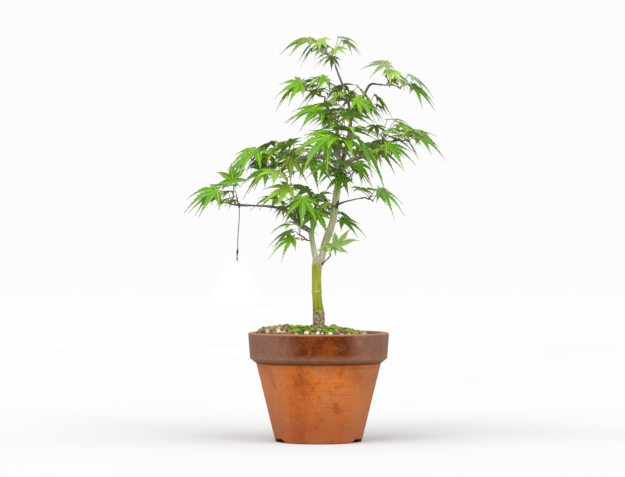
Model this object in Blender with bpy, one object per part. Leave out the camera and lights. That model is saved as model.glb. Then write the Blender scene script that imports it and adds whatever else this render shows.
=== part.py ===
"""A young Japanese maple in a clay training pot, with a blank hang tag on its lowest bough.

Metres, +Z up. The pot stands on z = 0, and the middle of the plant's spread is the origin.
The limbs are tapering tubes through a few key points. Each foliage mass is one solid: twigs that
fork from one stem, with a pair of lobed leaves at each tip, placed by a seeded rule that turns a
leaf away from what is already there and leaves it out where it finds no room.
"""

import math
import random

import bpy
import bmesh
from mathutils import Matrix, Vector
from mathutils.bvhtree import BVHTree

MM = 0.001
GAP = 0.3 * MM  # between pieces that touch on the real plant
UP = Vector((0, 0, 1))

# Pot, in millimetres: a turned clay pot with a deep rim, a foot ring and three drain notches
POT_HEIGHT = 119.8
RIM_RADIUS = 77.5
RIM_FOOT_RADIUS = 75.6
RIM_DEPTH = 29.0
BODY_TOP_RADIUS = 68.7
BODY_TOP = 86.6
BASE_RADIUS = 47.5
RIM_INNER_RADIUS = 70.0
WALL = 7.4
FLOOR_TOP = 12.0
FOOT_RECESS = 4.4
FOOT_RING = 7.5
DRAIN_RADIUS = 9.0
POT_SEGMENTS = 28
NOTCH_ANGLES = (-25, -155, 90)  # degrees round from +X: two beside the front, one behind
NOTCH_TOP, NOTCH_BOTTOM = 12.0, 32.0  # widths of a notch
NOTCH_HEIGHT = 4.4

# Soil and what lies on it
SOIL_TOP = 124.2  # where the trunk stands
SOIL_EDGE = 116.0
SOIL_TILT = 3.5  # the soil is heaped towards -X
TRUNK_PATCH = 9.0
SOIL_RINGS = (20, 34, 50)
PEBBLES = 18
PEBBLE_SIZE = (3.0, 4.8)
# A moss pad: its middle (x, y), its half width, its half depth and its height above the soil
MOSS_PADS = {
    "moss_left": (-21, -20, 17, 16, 4.6),
    "moss_front": (10, -20, 12, 13, 4.2),
    "moss_right": (35, -8, 10, 12, 3.6),
}

# Limbs: what carries each, its sides, and its route as (x, y, z, radius) in millimetres
LIMBS = {
    "trunk": (None, 12, (
        (0.3, 0, 124.5, 7.0), (0.2, 0, 128.5, 6.3), (0.1, 0, 140.0, 6.2), (-1.2, 0, 151.5, 5.1),
        (-2.0, 0, 165, 4.9), (-2.3, 0, 183, 4.9), (-1.6, 0, 194, 5.4), (-0.9, 0, 201, 5.3),
        (-0.8, 0, 203.5, 3.6))),
    "left_stem": ("trunk", 9, (
        (-3.0, 0, 198, 2.9), (-4.7, 0, 208, 2.9), (-7.0, 0, 221, 2.7), (-8.0, 0, 229, 2.9),
        (-8.5, 0, 234.5, 2.5))),
    "leader": ("trunk", 9, (
        (1.6, 0, 196, 3.4), (3.4, 0, 201, 3.4), (6.6, 0, 216, 3.6), (11.0, 0, 228, 3.9),
        (15.0, 0, 240, 3.4), (17.2, 0, 253, 3.7), (19.6, 0, 271, 3.6), (21.6, 0, 286, 3.3),
        (22.6, 0, 300, 3.4), (23.6, 0, 307, 2.8))),
    "left_bough": ("left_stem", 7, (
        (-7.6, 0, 230.5, 2.5), (-18.7, -1, 237, 2.5), (-27.2, -2, 245.4, 2.4),
        (-35.5, -3, 253.4, 2.3), (-43, -3, 256.2, 1.7), (-54, -3, 258.2, 1.4),
        (-72, -2, 259.2, 1.2), (-84.5, -1, 259.6, 1.5), (-95, -1, 260.4, 1.1))),
    "right_bough": ("leader", 7, (
        (22.5, 0, 302, 2.4), (36.7, -4, 309.4, 2.2), (53, -9, 314.2, 1.8),
        (67.5, -14, 320.6, 1.5), (79.6, -18, 328.6, 1.5), (88, -20, 330.8, 1.1))),
    "left_middle_bough": ("leader", 7, (
        (22.8, 0, 299, 2.4), (14, 6, 309, 2.2), (0.4, 12, 313.4, 2.0), (-23.8, 18, 309.6, 1.7),
        (-42.5, 20, 306.2, 1.4), (-56, 20, 302.4, 1.1))),
    "upper_left_bough": ("leader", 7, (
        (23.4, 1, 303, 2.4), (20.6, 5, 326, 2.1), (20.0, 9, 347, 1.9), (13.6, 13, 362.5, 1.6),
        (7.0, 15, 371.5, 1.3), (7.4, 15, 379.5, 1.0))),
    "upper_right_bough": ("leader", 7, (
        (24.0, -1, 303, 2.6), (31.6, -4, 326, 2.3), (34.6, -6, 345, 2.0), (35.2, -6, 360, 1.7))),
    "top_leader": ("upper_right_bough", 7, (
        (35.0, -6, 357, 1.6), (33.4, -5, 369, 1.6), (29.4, -3, 384, 1.4), (22.6, -1, 401.5, 1.3),
        (17.6, 0, 415.5, 1.0))),
    "upper_right_branch": ("upper_right_bough", 7, (
        (35.0, -6, 353, 1.5), (41.8, -8, 366, 1.4), (49, -10, 378.5, 1.4), (56.4, -11, 391.6, 1.5),
        (66, -10, 391.8, 1.1), (76, -8, 391.2, 1.0))),
    "right_low_branch": ("leader", 6, (
        (17.8, 0, 257.5, 1.3), (26, -2, 262.4, 1.2), (40, -5, 266, 1.0), (51, -7, 268, 1.0))),
    "front_bough": ("leader", 7, (
        (22.2, 0, 296, 2.1), (24.5, -14, 305, 1.9), (27, -32, 313, 1.5), (27.5, -48, 318, 1.1))),
    "back_bough": ("leader", 7, (
        (21.2, 0, 283, 2.1), (20, 16, 292, 1.8), (14, 42, 303, 1.5), (6, 62, 309, 1.1))),
}

# Foliage masses: the limb that carries it, where along that limb from 0 to 1, the tips of its
# twigs in millimetres, the length of a leaf's middle lobe, and the seed of its leaves
MASSES = {
    "far_left": ("left_bough", 1.0, ((-108, -6, 261), (-93, 8, 269)), 36, 11),
    "left_star": ("left_bough", 0.93, ((-90, -6, 270),), 24, 5),
    "left_tip": ("left_middle_bough", 1.0, ((-71, 10, 304), (-64, 29, 307)), 36, 9),
    "left_upper": ("left_middle_bough", 0.66, ((-40, 2, 318), (-27, -12, 314)), 38, 3),
    "left_rise": ("left_middle_bough", 0.8, ((-51, 5, 292), (-34, -8, 286)), 36, 3),
    "low_front": ("left_bough", 0.16, ((-28, -24, 262), (-15, -32, 248)), 40, 3),
    "low_left": ("left_stem", 0.62, ((-18, -14, 221), (-22, 12, 227)), 30, 1),
    "inner_left": ("leader", 0.5, ((2, -14, 251), (-1, 13, 259)), 32, 11),
    "front_low": ("leader", 0.86, ((15, -30, 291), (34, -26, 294)), 40, 3),
    "front_high": ("front_bough", 1.0, ((20, -62, 325), (35, -66, 323)), 48, 9),
    "right_middle": ("right_bough", 0.62, ((70, -34, 311), (70, 4, 318)), 38, 8),
    "right_tip": ("right_bough", 1.0, ((99, -25, 329), (87, -4, 330)), 36, 7),
    "right_rise": ("right_bough", 0.72, ((68, -20, 336), (77, -4, 341)), 26, 4),
    "upper_left": ("upper_left_bough", 1.0, ((-13, 6, 386), (-2, 30, 383)), 36, 11),
    "upper_front": ("upper_right_bough", 0.66, ((7, -24, 355), (22, -32, 350)), 38, 3),
    "upper_middle": ("top_leader", 0.3, ((18, -14, 377), (31, 13, 377)), 34, 2),
    "upper_right_inner": ("upper_right_branch", 0.2, ((47, -26, 360), (52, 8, 361)), 28, 8),
    "top": ("top_leader", 1.0, ((0, -4, 431), (18, 4, 430)), 24, 9),
    "upper_right": ("upper_right_branch", 1.0, ((73, -16, 401), (90, 3, 388)), 34, 2),
    "right_low": ("right_low_branch", 1.0, ((58, -12, 269), (60, 8, 264)), 25, 7),
    "right_inner": ("leader", 0.72, ((40, -14, 297), (37, 15, 288)), 26, 3),
    "fork_right": ("trunk", 0.84, ((13, -12, 204),), 30, 7),
    "leader_right": ("leader", 0.42, ((15, 15, 241),), 34, 3),
    "back_high": ("upper_left_bough", 0.55, ((14, 46, 360), (28, 40, 366)), 38, 7),
    "back_middle": ("back_bough", 1.0, ((-4, 78, 315), (18, 82, 318)), 42, 10),
    "back_right": ("right_bough", 0.3, ((50, 36, 316), (64, 30, 322)), 40, 10),
    "back_left": ("left_middle_bough", 0.45, ((-22, 56, 306), (-38, 48, 300)), 40, 10),
    "back_low": ("left_bough", 0.3, ((-26, 30, 252), (-14, 26, 246)), 36, 7),
}
# Leaves that stand out in the photo, by mass and tip: the petiole, the middle lobe's direction, the
# way the blade faces, and its length
SHOWN_LEAVES = {
    ("far_left", 0): ((-3, -2, 14), (-0.95, -0.12, -0.28), (-0.25, -0.6, 0.75), 40),
    ("left_star", 0): ((-4, -3, 15), (-0.15, 0.1, 1.0), (0, -1, 0.1), 29),
    ("left_upper", 0): ((-9, -3, 2), (-0.75, -0.25, -0.4), (-0.3, -0.5, 0.8), 24),
    ("left_upper", 1): ((-5, -8, -4), (0.62, -0.2, -0.68), (0.4, -0.75, 0.5), 30),
    ("left_rise", 0): ((-6, -6, 5), (-0.95, 0.1, -0.2), (-0.15, -0.8, 0.6), 32),
    ("low_left", 0): ((-10, -2, 2), (-0.85, -0.15, -0.4), (-0.2, -0.5, 0.85), 30),
    ("low_front", 0): ((-4, -2, 16), (-0.87, -0.25, -0.25), (-0.1, -0.6, 0.8), 36),
    ("low_front", 1): ((-2, -3, 19), (-0.05, -0.45, -0.89), (0.05, -0.85, 0.5), 32),
    ("inner_left", 0): ((-4, -10, 1), (-0.25, -0.3, -0.9), (-0.1, -0.85, 0.4), 30),
    ("front_low", 0): ((-6, -8, 10), (-0.87, -0.2, -0.25), (-0.2, -0.6, 0.8), 27),
    ("front_low", 1): ((-9, -9, -3), (-0.3, -0.35, -0.9), (0.1, -0.85, 0.4), 25),
    ("front_high", 1): ((5, 6, 10), (0.60, -0.26, -0.75), (0.75, -0.1, 0.6), 56),
    ("right_middle", 0): ((4, -8, 13), (0.93, -0.1, -0.34), (0.3, -0.5, 0.8), 36),
    ("right_tip", 0): ((9, -1, 5), (0.9, -0.15, -0.42), (0.35, -0.3, 0.88), 34),
    ("upper_left", 0): ((-6, -3, 8), (-0.94, -0.16, -0.26), (-0.2, -0.7, 0.7), 31),
    ("upper_front", 0): ((-4, -4, 8), (-0.98, -0.15, -0.04), (-0.05, -0.5, 0.85), 42),
    ("upper_middle", 0): ((-10, 0, 21), (-0.93, -0.2, -0.25), (-0.1, -0.6, 0.8), 25),
    ("upper_right_inner", 0): ((-6, -2, 15), (0.79, -0.15, -0.56), (0.3, -0.7, 0.6), 26),
    ("top", 0): ((-9, -2, 10), (-0.95, -0.1, -0.15), (-0.1, -0.35, 0.93), 37),
    ("top", 1): ((11, -2, 10), (0.82, -0.13, -0.55), (0.4, -0.3, 0.87), 23),
    ("upper_right", 0): ((3, -2, 12), (-1, -0.1, 0.05), (0, -0.5, 0.87), 31),
    ("upper_right", 1): ((13, -3, 3), (0.62, -0.1, -0.5), (0.62, -0.35, 0.7), 34),
    ("right_inner", 0): ((2, -4, 8), (0.68, -0.15, -0.68), (0.4, -0.6, 0.7), 26),
    ("right_low", 0): ((9, -2, 7), (0.75, -0.1, -0.5), (0.45, -0.4, 0.8), 36),
    ("leader_right", 0): ((10, 0, 2), (0.96, -0.05, -0.27), (0.25, -0.4, 0.85), 30),
    ("fork_right", 0): ((4, -5, 9), (0.55, -0.15, 0.85), (0.7, -0.6, -0.2), 38),
}
CROWN_AXIS = Vector((15, 0, 0)) * MM
STEM_RADIUS = 1.1
TWIG_RADIUS = 0.9
ROOT_SUNK = 1.0  # how far a petiole starts inside its twig
PETIOLE_RADIUS = 0.5
FORK_SHARE = 0.45  # where a mass's stem forks, between its foot and the middle of its tips
ROUTE_STEP = 11.0  # between the rings of a limb

# Leaf: lobes as (angle from the middle lobe in degrees, length, half width) in lobe lengths
LOBES = (
    (-126, 0.30, 0), (-82, 0.66, 0.085), (-41, 0.92, 0.105), (0, 1.0, 0.115),
    (41, 0.92, 0.105), (82, 0.66, 0.085), (126, 0.30, 0),
)
NOTCHES = (0.13, 0.22, 0.27, 0.27, 0.22, 0.13)  # how far out each cleft between lobes starts
HEEL, HEEL_ANGLE = 0.03, 30  # the two points where the petiole joins, behind the palm
WIDEST = 0.48  # where along a lobe it is widest
LEAF_THICKNESS = 0.018
DROOP = 0.22  # how far a lobe's tip hangs, in lobe lengths
PAIR_SPREAD = (35, 95)  # degrees between a twig's heading and its leaf's petiole
PETIOLE_RISE = (15, 70)
PETIOLE_LENGTH = (11, 23)
NECK = 0.06  # how far behind the palm the petiole bends into the blade
PETIOLE_CLEAR = 0.16  # the share of a petiole that is in or close to its own twig
BLADE_PITCH = (-15, 45)  # how far a blade points below level
BLADE_ROLL = 28
OUTWARD = 0.5  # how much a blade turns away from the crown's axis
SIZE_RANGE = (0.82, 1.15)
TRIES = 24

# Hang tag: a card with cut corners, its tie and the thread that holds it to the bough
TAG_X, TAG_THREAD_X = -89.6, -87.2
CARD_OUTLINE = (  # x and z from the middle of its top edge
    (-5.6, 0), (-30.0, -46.5), (-27.6, -55.6), (31.0, -55.6), (33.6, -48.2), (6.4, 0),
)
CARD_TOP = 202.6
CARD_THICKNESS = 0.8
CARD_HOLE_DEPTH, CARD_HOLE_RADIUS = 5.5, 1.9
THREAD_RADIUS = 0.4
TIE_RADIUS = 0.85
TIE_FOOT, TIE_HEAD = 205.4, 210.5

COLOURS = {
    "clay": (0.60, 0.16, 0.045), "soil": (0.22, 0.15, 0.08), "moss": (0.16, 0.24, 0.03),
    "bark": (0.33, 0.36, 0.12), "leaf": (0.10, 0.30, 0.03), "card": (0.85, 0.87, 0.88),
    "thread": (0.12, 0.11, 0.10),
}


def mm(x, y, z):
    return Vector((x, y, z)) * MM


def clear_scene():
    for obj in list(bpy.data.objects):
        bpy.data.objects.remove(obj, do_unlink=True)


def material(name, roughness=0.6):
    found = bpy.data.materials.get(name)
    if found:
        return found
    made = bpy.data.materials.new(name)
    made.use_nodes = True
    shader = made.node_tree.nodes["Principled BSDF"]
    shader.inputs["Base Color"].default_value = (*COLOURS[name], 1)
    shader.inputs["Roughness"].default_value = roughness
    shader.inputs["Metallic"].default_value = 0
    return made


def add_object(name, verts, faces, finish):
    mesh = bpy.data.meshes.new(name)
    mesh.from_pydata([tuple(v) for v in verts], [], faces)
    mesh.materials.append(material(finish))
    obj = bpy.data.objects.new(name, mesh)
    bpy.context.scene.collection.objects.link(obj)
    return obj


def smooth(obj, angle=40):
    obj.data.shade_smooth()
    obj.data.set_sharp_from_angle(angle=math.radians(angle))


def apply_boolean(obj, operation, cutter=None, collection=None):
    """Cuts or joins, keeps the result as the object's own mesh, and removes what it used."""
    boolean = obj.modifiers.new("join", "BOOLEAN")
    boolean.operation = operation
    boolean.solver = "EXACT"
    used = [cutter]
    if collection:
        boolean.operand_type = "COLLECTION"
        boolean.collection = collection
        used = list(collection.objects)
    else:
        boolean.object = cutter
    graph = bpy.context.evaluated_depsgraph_get()
    joined = bpy.data.meshes.new_from_object(obj.evaluated_get(graph))
    obj.modifiers.clear()
    obj.data = joined
    for other in used:
        bpy.data.objects.remove(other, do_unlink=True)
    if collection:
        bpy.data.collections.remove(collection)


def drop_scraps(obj):
    """Keeps only the largest connected part, where a cut left a sliver beside it."""
    bm = bmesh.new()
    bm.from_mesh(obj.data)
    left, parts = set(bm.verts), []
    while left:
        part, edge = set(), [left.pop()]
        while edge:
            vert = edge.pop()
            part.add(vert)
            beside = [e.other_vert(vert) for e in vert.link_edges]
            edge += [v for v in beside if v in left]
            left.difference_update(beside)
        parts.append(part)
    parts.sort(key=len)
    bmesh.ops.delete(bm, geom=[v for part in parts[:-1] for v in part], context="VERTS")
    bm.to_mesh(obj.data)
    bm.free()


# Tubes and turned shapes

def route(keys, step=ROUTE_STEP):
    """Points and radii, in metres, along a smooth curve through key points in millimetres."""
    rows = [Vector(key) for key in keys]
    ends = [2 * rows[0] - rows[1], *rows, 2 * rows[-1] - rows[-2]]
    points = []
    for a, b, c, d in zip(ends, ends[1:], ends[2:], ends[3:]):
        count = max(1, round((c.xyz - b.xyz).length / step))
        for i in range(count):
            t = i / count
            points.append(0.5 * (2 * b + (c - a) * t + (2 * a - 5 * b + 4 * c - d) * t ** 2
                                 + (3 * b - a - 3 * c + d) * t ** 3))
    points.append(rows[-1])
    return [p.xyz * MM for p in points], [p.w * MM for p in points]


def tube(points, radii, sides):
    """A closed tube round the points, its rings kept from twisting."""
    verts, faces = [], []
    across = None
    for i, (point, radius) in enumerate(zip(points, radii)):
        ahead = (points[min(i + 1, len(points) - 1)] - points[max(i - 1, 0)]).normalized()
        if across is None:
            across = ahead.cross(UP if abs(ahead.z) < 0.9 else Vector((0, 1, 0)))
        across = (across - ahead * across.dot(ahead)).normalized()
        beside = ahead.cross(across)
        for k in range(sides):
            turn = 2 * math.pi * k / sides
            verts.append(point + radius * (math.cos(turn) * across + math.sin(turn) * beside))
    for i in range(len(points) - 1):
        for k in range(sides):
            a, b = i * sides + k, i * sides + (k + 1) % sides
            faces.append((a, b, b + sides, a + sides))
    faces.append(tuple(range(sides))[::-1])
    faces.append(tuple(range(len(verts) - sides, len(verts))))
    return verts, faces


def swollen(points, radii, by=GAP):
    """The same route with its skin and its ends moved out."""
    first = points[0] - (points[1] - points[0]).normalized() * by
    last = points[-1] + (points[-1] - points[-2]).normalized() * by
    return [first, *points[1:-1], last], [r + by for r in radii]


def turned(profile, segments):
    """A closed profile of (radius, height) in millimetres, turned round Z."""
    verts = [
        Vector((r * math.cos(turn), r * math.sin(turn), z)) * MM
        for turn in (2 * math.pi * k / segments for k in range(segments))
        for r, z in profile
    ]
    count = len(profile)
    faces = []
    for k in range(segments):
        for i in range(count):
            j = (i + 1) % count
            this, after = k * count, (k + 1) % segments * count
            faces.append((this + i, this + j, after + j, after + i))
    return verts, faces


# Pot and soil

def body_radius(height):
    return BASE_RADIUS + (BODY_TOP_RADIUS - BASE_RADIUS) * height / BODY_TOP


def make_pot():
    rim_foot = POT_HEIGHT - RIM_DEPTH
    foot_inner = BASE_RADIUS - FOOT_RING
    profile = (
        (RIM_INNER_RADIUS, POT_HEIGHT - 1.2), (RIM_INNER_RADIUS + 1.4, POT_HEIGHT),
        (RIM_RADIUS - 2.0, POT_HEIGHT), (RIM_RADIUS, POT_HEIGHT - 2.0),
        (RIM_FOOT_RADIUS, rim_foot), (BODY_TOP_RADIUS, BODY_TOP),
        (body_radius(0.8), 0.8), (BASE_RADIUS - 1.0, 0),
        (foot_inner, 0), (foot_inner - 1.2, FOOT_RECESS),
        (DRAIN_RADIUS, FOOT_RECESS), (DRAIN_RADIUS, FLOOR_TOP),
        (body_radius(FLOOR_TOP) - WALL, FLOOR_TOP), (BODY_TOP_RADIUS - WALL, BODY_TOP),
        (RIM_INNER_RADIUS - 0.6, BODY_TOP + 9),
    )
    pot = add_object("pot", *turned(profile[::-1], POT_SEGMENTS), "clay")
    for angle in NOTCH_ANGLES:
        apply_boolean(pot, "DIFFERENCE", notch_cutter(math.radians(angle)))
    smooth(pot, 30)
    return pot


def notch_cutter(angle):
    """A wedge that is wider at the bottom, run out through the foot ring."""
    inner, outer = BASE_RADIUS - 2 * FOOT_RING, BASE_RADIUS + 5
    verts = []
    for along in (inner, outer):
        for width, z in ((NOTCH_BOTTOM, -1), (NOTCH_TOP, NOTCH_HEIGHT)):
            for side in (-0.5, 0.5):
                verts.append(Matrix.Rotation(angle, 3, "Z") @ mm(along, side * width, z))
    faces = ((2, 3, 1, 0), (5, 7, 6, 4), (1, 5, 4, 0), (6, 7, 3, 2), (4, 6, 2, 0), (3, 7, 5, 1))
    cutter = add_object("notch_cutter", verts, faces, "clay")
    cutter.hide_render = True
    return cutter


def soil_height(x, y):
    """The height of the soil over a point, all in millimetres: a low heap with a flat top."""
    edge = RIM_INNER_RADIUS - 1
    out = min(1, max(0, math.hypot(x, y) - TRUNK_PATCH) / (edge - TRUNK_PATCH))
    return SOIL_TOP - (SOIL_TOP - SOIL_EDGE) * out ** 1.6 - SOIL_TILT * x / edge * out


def make_soil():
    """The root ball: it fills the pot, with its gap, and pebbles are sunk in its top."""
    clear = 0.4
    rings = [
        (body_radius(FLOOR_TOP) - WALL - clear, FLOOR_TOP + 0.3),
        (BODY_TOP_RADIUS - WALL - clear, BODY_TOP + 0.2),
        (RIM_INNER_RADIUS - 0.6 - clear, BODY_TOP + 9.2),
    ]
    radii = (RIM_INNER_RADIUS - clear - 0.2, *SOIL_RINGS[::-1], TRUNK_PATCH)
    bottom, top = 0, 1
    verts = [mm(0, 0, rings[0][1]), mm(0, 0, SOIL_TOP)]
    turns = [2 * math.pi * k / POT_SEGMENTS for k in range(POT_SEGMENTS)]
    for radius, z in rings:
        verts += [mm(radius * math.cos(t), radius * math.sin(t), z) for t in turns]
    for radius in radii:
        for t in turns:
            x, y = radius * math.cos(t), radius * math.sin(t)
            verts.append(mm(x, y, soil_height(x, y)))
    faces = []
    for k in range(POT_SEGMENTS):
        after = (k + 1) % POT_SEGMENTS
        faces.append((bottom, 2 + after, 2 + k))
        for ring in range(len(rings) + len(radii) - 1):
            start = 2 + ring * POT_SEGMENTS
            faces.append((start + k, start + after, start + after + POT_SEGMENTS,
                          start + k + POT_SEGMENTS))
        last = 2 + (len(rings) + len(radii) - 1) * POT_SEGMENTS
        faces.append((top, last + k, last + after))
    soil = add_object("soil", verts, faces, "soil")
    pebbles = bpy.data.collections.new("pebbles")
    bpy.context.scene.collection.children.link(pebbles)
    for place, size in pebble_places():
        bm = bmesh.new()
        bmesh.ops.create_icosphere(bm, subdivisions=1, radius=1)
        turn = Matrix.Rotation(place[0] * 900, 4, "Z") @ Matrix.Rotation(place[1] * 700, 4, "X")
        shape = Matrix.Translation(place) @ Matrix.Diagonal((size, size * 0.85, size * 0.7, 1))
        bm.transform(shape @ turn)
        mesh = bpy.data.meshes.new("pebble")
        bm.to_mesh(mesh)
        bm.free()
        pebbles.objects.link(bpy.data.objects.new("pebble", mesh))
    apply_boolean(soil, "UNION", collection=pebbles)
    soil.data.materials.clear()
    soil.data.materials.append(material("soil", 0.9))
    return soil


def pebble_places():
    """Middles and sizes of pebbles spread over the soil, clear of each other, moss and trunk."""
    draw = random.Random(3)
    found = []
    while len(found) < PEBBLES:
        size = draw.uniform(*PEBBLE_SIZE)
        turn, out = draw.uniform(0, 2 * math.pi), 62 * math.sqrt(draw.uniform(0.1, 1))
        x, y = out * math.cos(turn), out * math.sin(turn)
        on_moss = any(
            math.hypot((x - mx) / (a + size), (y - my) / (b + size)) < 1.05
            for mx, my, a, b, _ in MOSS_PADS.values()
        )
        if on_moss or any(math.hypot(x - p.x / MM, y - p.y / MM) < size + s / MM + 1
                          for p, s in found):
            continue
        found.append((mm(x, y, soil_height(x, y) + 0.2 * size), size * MM))
    return found


def make_moss(soil, trunk_skin):
    """Low pads, each cut to sit on the soil and round the trunk."""
    pads = []
    for name, (x, y, half_width, half_depth, height) in MOSS_PADS.items():
        bm = bmesh.new()
        bmesh.ops.create_uvsphere(bm, u_segments=12, v_segments=6, radius=1)
        sunk = mm(x, y, soil_height(x, y))
        shape = Matrix.Diagonal((half_width * MM, half_depth * MM, height * MM, 1))
        bm.transform(Matrix.Translation(sunk) @ shape)
        mesh = bpy.data.meshes.new(name)
        bm.to_mesh(mesh)
        bm.free()
        mesh.materials.append(material("moss", 0.95))
        pad = bpy.data.objects.new(name, mesh)
        bpy.context.scene.collection.objects.link(pad)
        ground = bpy.data.objects.new("ground", soil.data.copy())
        ground.location.z = GAP
        bpy.context.scene.collection.objects.link(ground)
        bpy.context.view_layer.update()
        apply_boolean(pad, "DIFFERENCE", ground)
        apply_boolean(pad, "DIFFERENCE", add_object("trunk_skin", *trunk_skin, "bark"))
        smooth(pad, 60)
        pads.append(pad)
    return pads


# Limbs

class Limb:
    """One tapering limb: its route, and the tube round it."""

    def __init__(self, name):
        self.carrier, self.sides, keys = LIMBS[name]
        self.points, self.radii = route(keys)

    def at(self, share):
        """The point and the radius at a share of the limb's length."""
        runs = [(b - a).length for a, b in zip(self.points, self.points[1:])]
        left = share * sum(runs)
        for i, run in enumerate(runs):
            if left <= run or i == len(runs) - 1:
                t = min(1, left / run)
                point = self.points[i].lerp(self.points[i + 1], t)
                return point, self.radii[i] * (1 - t) + self.radii[i + 1] * t
            left -= run

    def skin(self):
        """The tube that a piece seated on this limb is cut with."""
        points, radii = swollen(self.points, self.radii)
        return tube(points, radii, self.sides)


def make_limbs():
    """Each limb starts inside the one that carries it and is cut off GAP outside its skin."""
    limbs, objects = {}, {}
    for name in LIMBS:
        limb = Limb(name)
        obj = add_object(name, *tube(limb.points, limb.radii, limb.sides), "bark")
        ahead = [limb.carrier] if limb.carrier else []
        ahead += [n for n, other in limbs.items() if limb.carrier and other.carrier == limb.carrier]
        for other in ahead:
            apply_boolean(obj, "DIFFERENCE", add_object("skin", *limbs[other].skin(), "bark"))
        drop_scraps(obj)
        smooth(obj)
        limbs[name], objects[name] = limb, obj
    return limbs, objects


# Leaves and masses

class Leaf:
    """One lobed blade on its petiole: where the petiole starts, and the blade's own frame."""

    def __init__(self, foot, centre, axis, normal, size):
        self.foot, self.centre, self.axis, self.normal, self.size = foot, centre, axis, normal, size
        self.side = normal.cross(axis)

    def on_blade(self, angle, out, lift=0.0):
        """A point of the blade at an angle from the middle lobe, lowered as the lobes droop."""
        angle = math.radians(angle)
        flat = out * (math.cos(angle) * self.axis + math.sin(angle) * self.side)
        drop = DROOP * out ** 2 * UP
        return self.centre + self.size * (flat - drop + lift * self.normal)

    def shape(self, sunk=True):
        """A closed blade, thickest along its ribs, with its petiole growing out of its heel."""
        outline = []
        for i, (angle, length, half_width) in enumerate(LOBES):
            out, lean = WIDEST * length, math.degrees(math.atan2(half_width, WIDEST * length))
            widest = math.hypot(half_width, out)
            if half_width:
                outline += [(angle - lean, widest), (angle, length), (angle + lean, widest)]
            else:
                outline.append((angle, length))
            if i < len(NOTCHES):
                outline.append(((angle + LOBES[i + 1][0]) / 2, NOTCHES[i]))
        heel = len(outline)
        outline += [(180 - HEEL_ANGLE, HEEL), (180 + HEEL_ANGLE, HEEL)]
        verts = [self.on_blade(*place) for place in outline]
        faces, hubs = [], []
        for lift in (LEAF_THICKNESS / 2, -LEAF_THICKNESS / 2):
            hub, before, corner = len(verts), heel + 1, 0
            hubs.append(hub)
            verts.append(self.on_blade(0, 0, lift))
            for angle, length, half_width in LOBES:
                if half_width:
                    rib = len(verts)
                    verts.append(self.on_blade(angle, WIDEST * length, lift))
                    left, tip, right, after = range(corner, corner + 4)
                    fan = [(hub, before, left), (hub, left, rib), (rib, left, tip),
                           (rib, tip, right), (hub, rib, right), (hub, right, after)]
                else:
                    tip, after = corner, corner + 1
                    fan = [(hub, before, tip), (hub, tip, after)]
                before, corner = after, after + 1
                faces += fan if lift > 0 else [face[::-1] for face in fan]
        self.add_petiole(verts, faces, [heel, hubs[0], heel + 1, hubs[1]], sunk)
        return verts, faces

    def folds_back(self):
        """Whether the blade lies over its own petiole."""
        stalk = (self.centre - self.foot).normalized()
        level = Vector((stalk.x, stalk.y, 0)).normalized()
        return stalk.dot(self.axis) < -0.3 or level.dot(self.axis.normalized()) < 0.35

    def add_petiole(self, verts, faces, blade_ring, sunk):
        """Four-sided, straight to a neck behind the blade, then on to the ring at its heel."""
        neck = self.centre - self.axis * NECK * self.size
        foot = self.foot if sunk else self.foot.lerp(neck, PETIOLE_CLEAR)
        onward = (neck - foot).normalized()
        bend = (onward + self.axis).normalized()
        across, rings = self.side, []
        for place, ahead in ((neck, bend), (foot, onward)):
            across = (across - ahead * across.dot(ahead)).normalized()
            above = ahead.cross(across)
            rings.append(range(len(verts), len(verts) + 4))
            verts += [place + PETIOLE_RADIUS * MM * out for out in (across, above, -across, -above)]
        rings = [rings[1], rings[0], blade_ring]
        faces.append(tuple(rings[0])[::-1])
        for ring, after in zip(rings, rings[1:]):
            for k in range(4):
                j = (k + 1) % 4
                faces += [(after[j], after[k], ring[k]), (after[j], ring[k], ring[j])]


class Space:
    """What is already there, so that a new twig or leaf can keep clear of it."""

    def __init__(self):
        self.taken = []

    def add(self, shape, owner=None, bare=None):
        """Bare is the shape less its root, for pieces of one mass that grow from one place."""
        self.taken.append((owner, BVHTree.FromPolygons(*shape),
                           BVHTree.FromPolygons(*(bare or shape))))

    def has_room(self, shape, owner, bare):
        whole, less = BVHTree.FromPolygons(*shape), BVHTree.FromPolygons(*bare)
        return not any(less.overlap(other_less) if who == owner else whole.overlap(other)
                       for who, other, other_less in self.taken)


def twigs_of(foot, tips):
    """A stem from its foot to a fork, then a twig to each tip, as (points, radii)."""
    middle = sum(tips, Vector()) / len(tips)
    fork = foot.lerp(middle, FORK_SHARE) - UP * 1.0 * MM
    if len(tips) == 1:
        return [([foot, fork, tips[0]], [STEM_RADIUS * MM, STEM_RADIUS * MM, TWIG_RADIUS * MM])]
    radii = [STEM_RADIUS * MM, STEM_RADIUS * MM]
    onward = (fork - foot).normalized()
    twigs = [([foot, fork + onward * 0.8 * MM], radii)]
    for tip in tips:
        bend = fork.lerp(tip, 0.55) + UP * 1.2 * MM
        twigs.append(([fork, bend, tip], [STEM_RADIUS * MM, TWIG_RADIUS * MM, TWIG_RADIUS * MM]))
    return twigs


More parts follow.
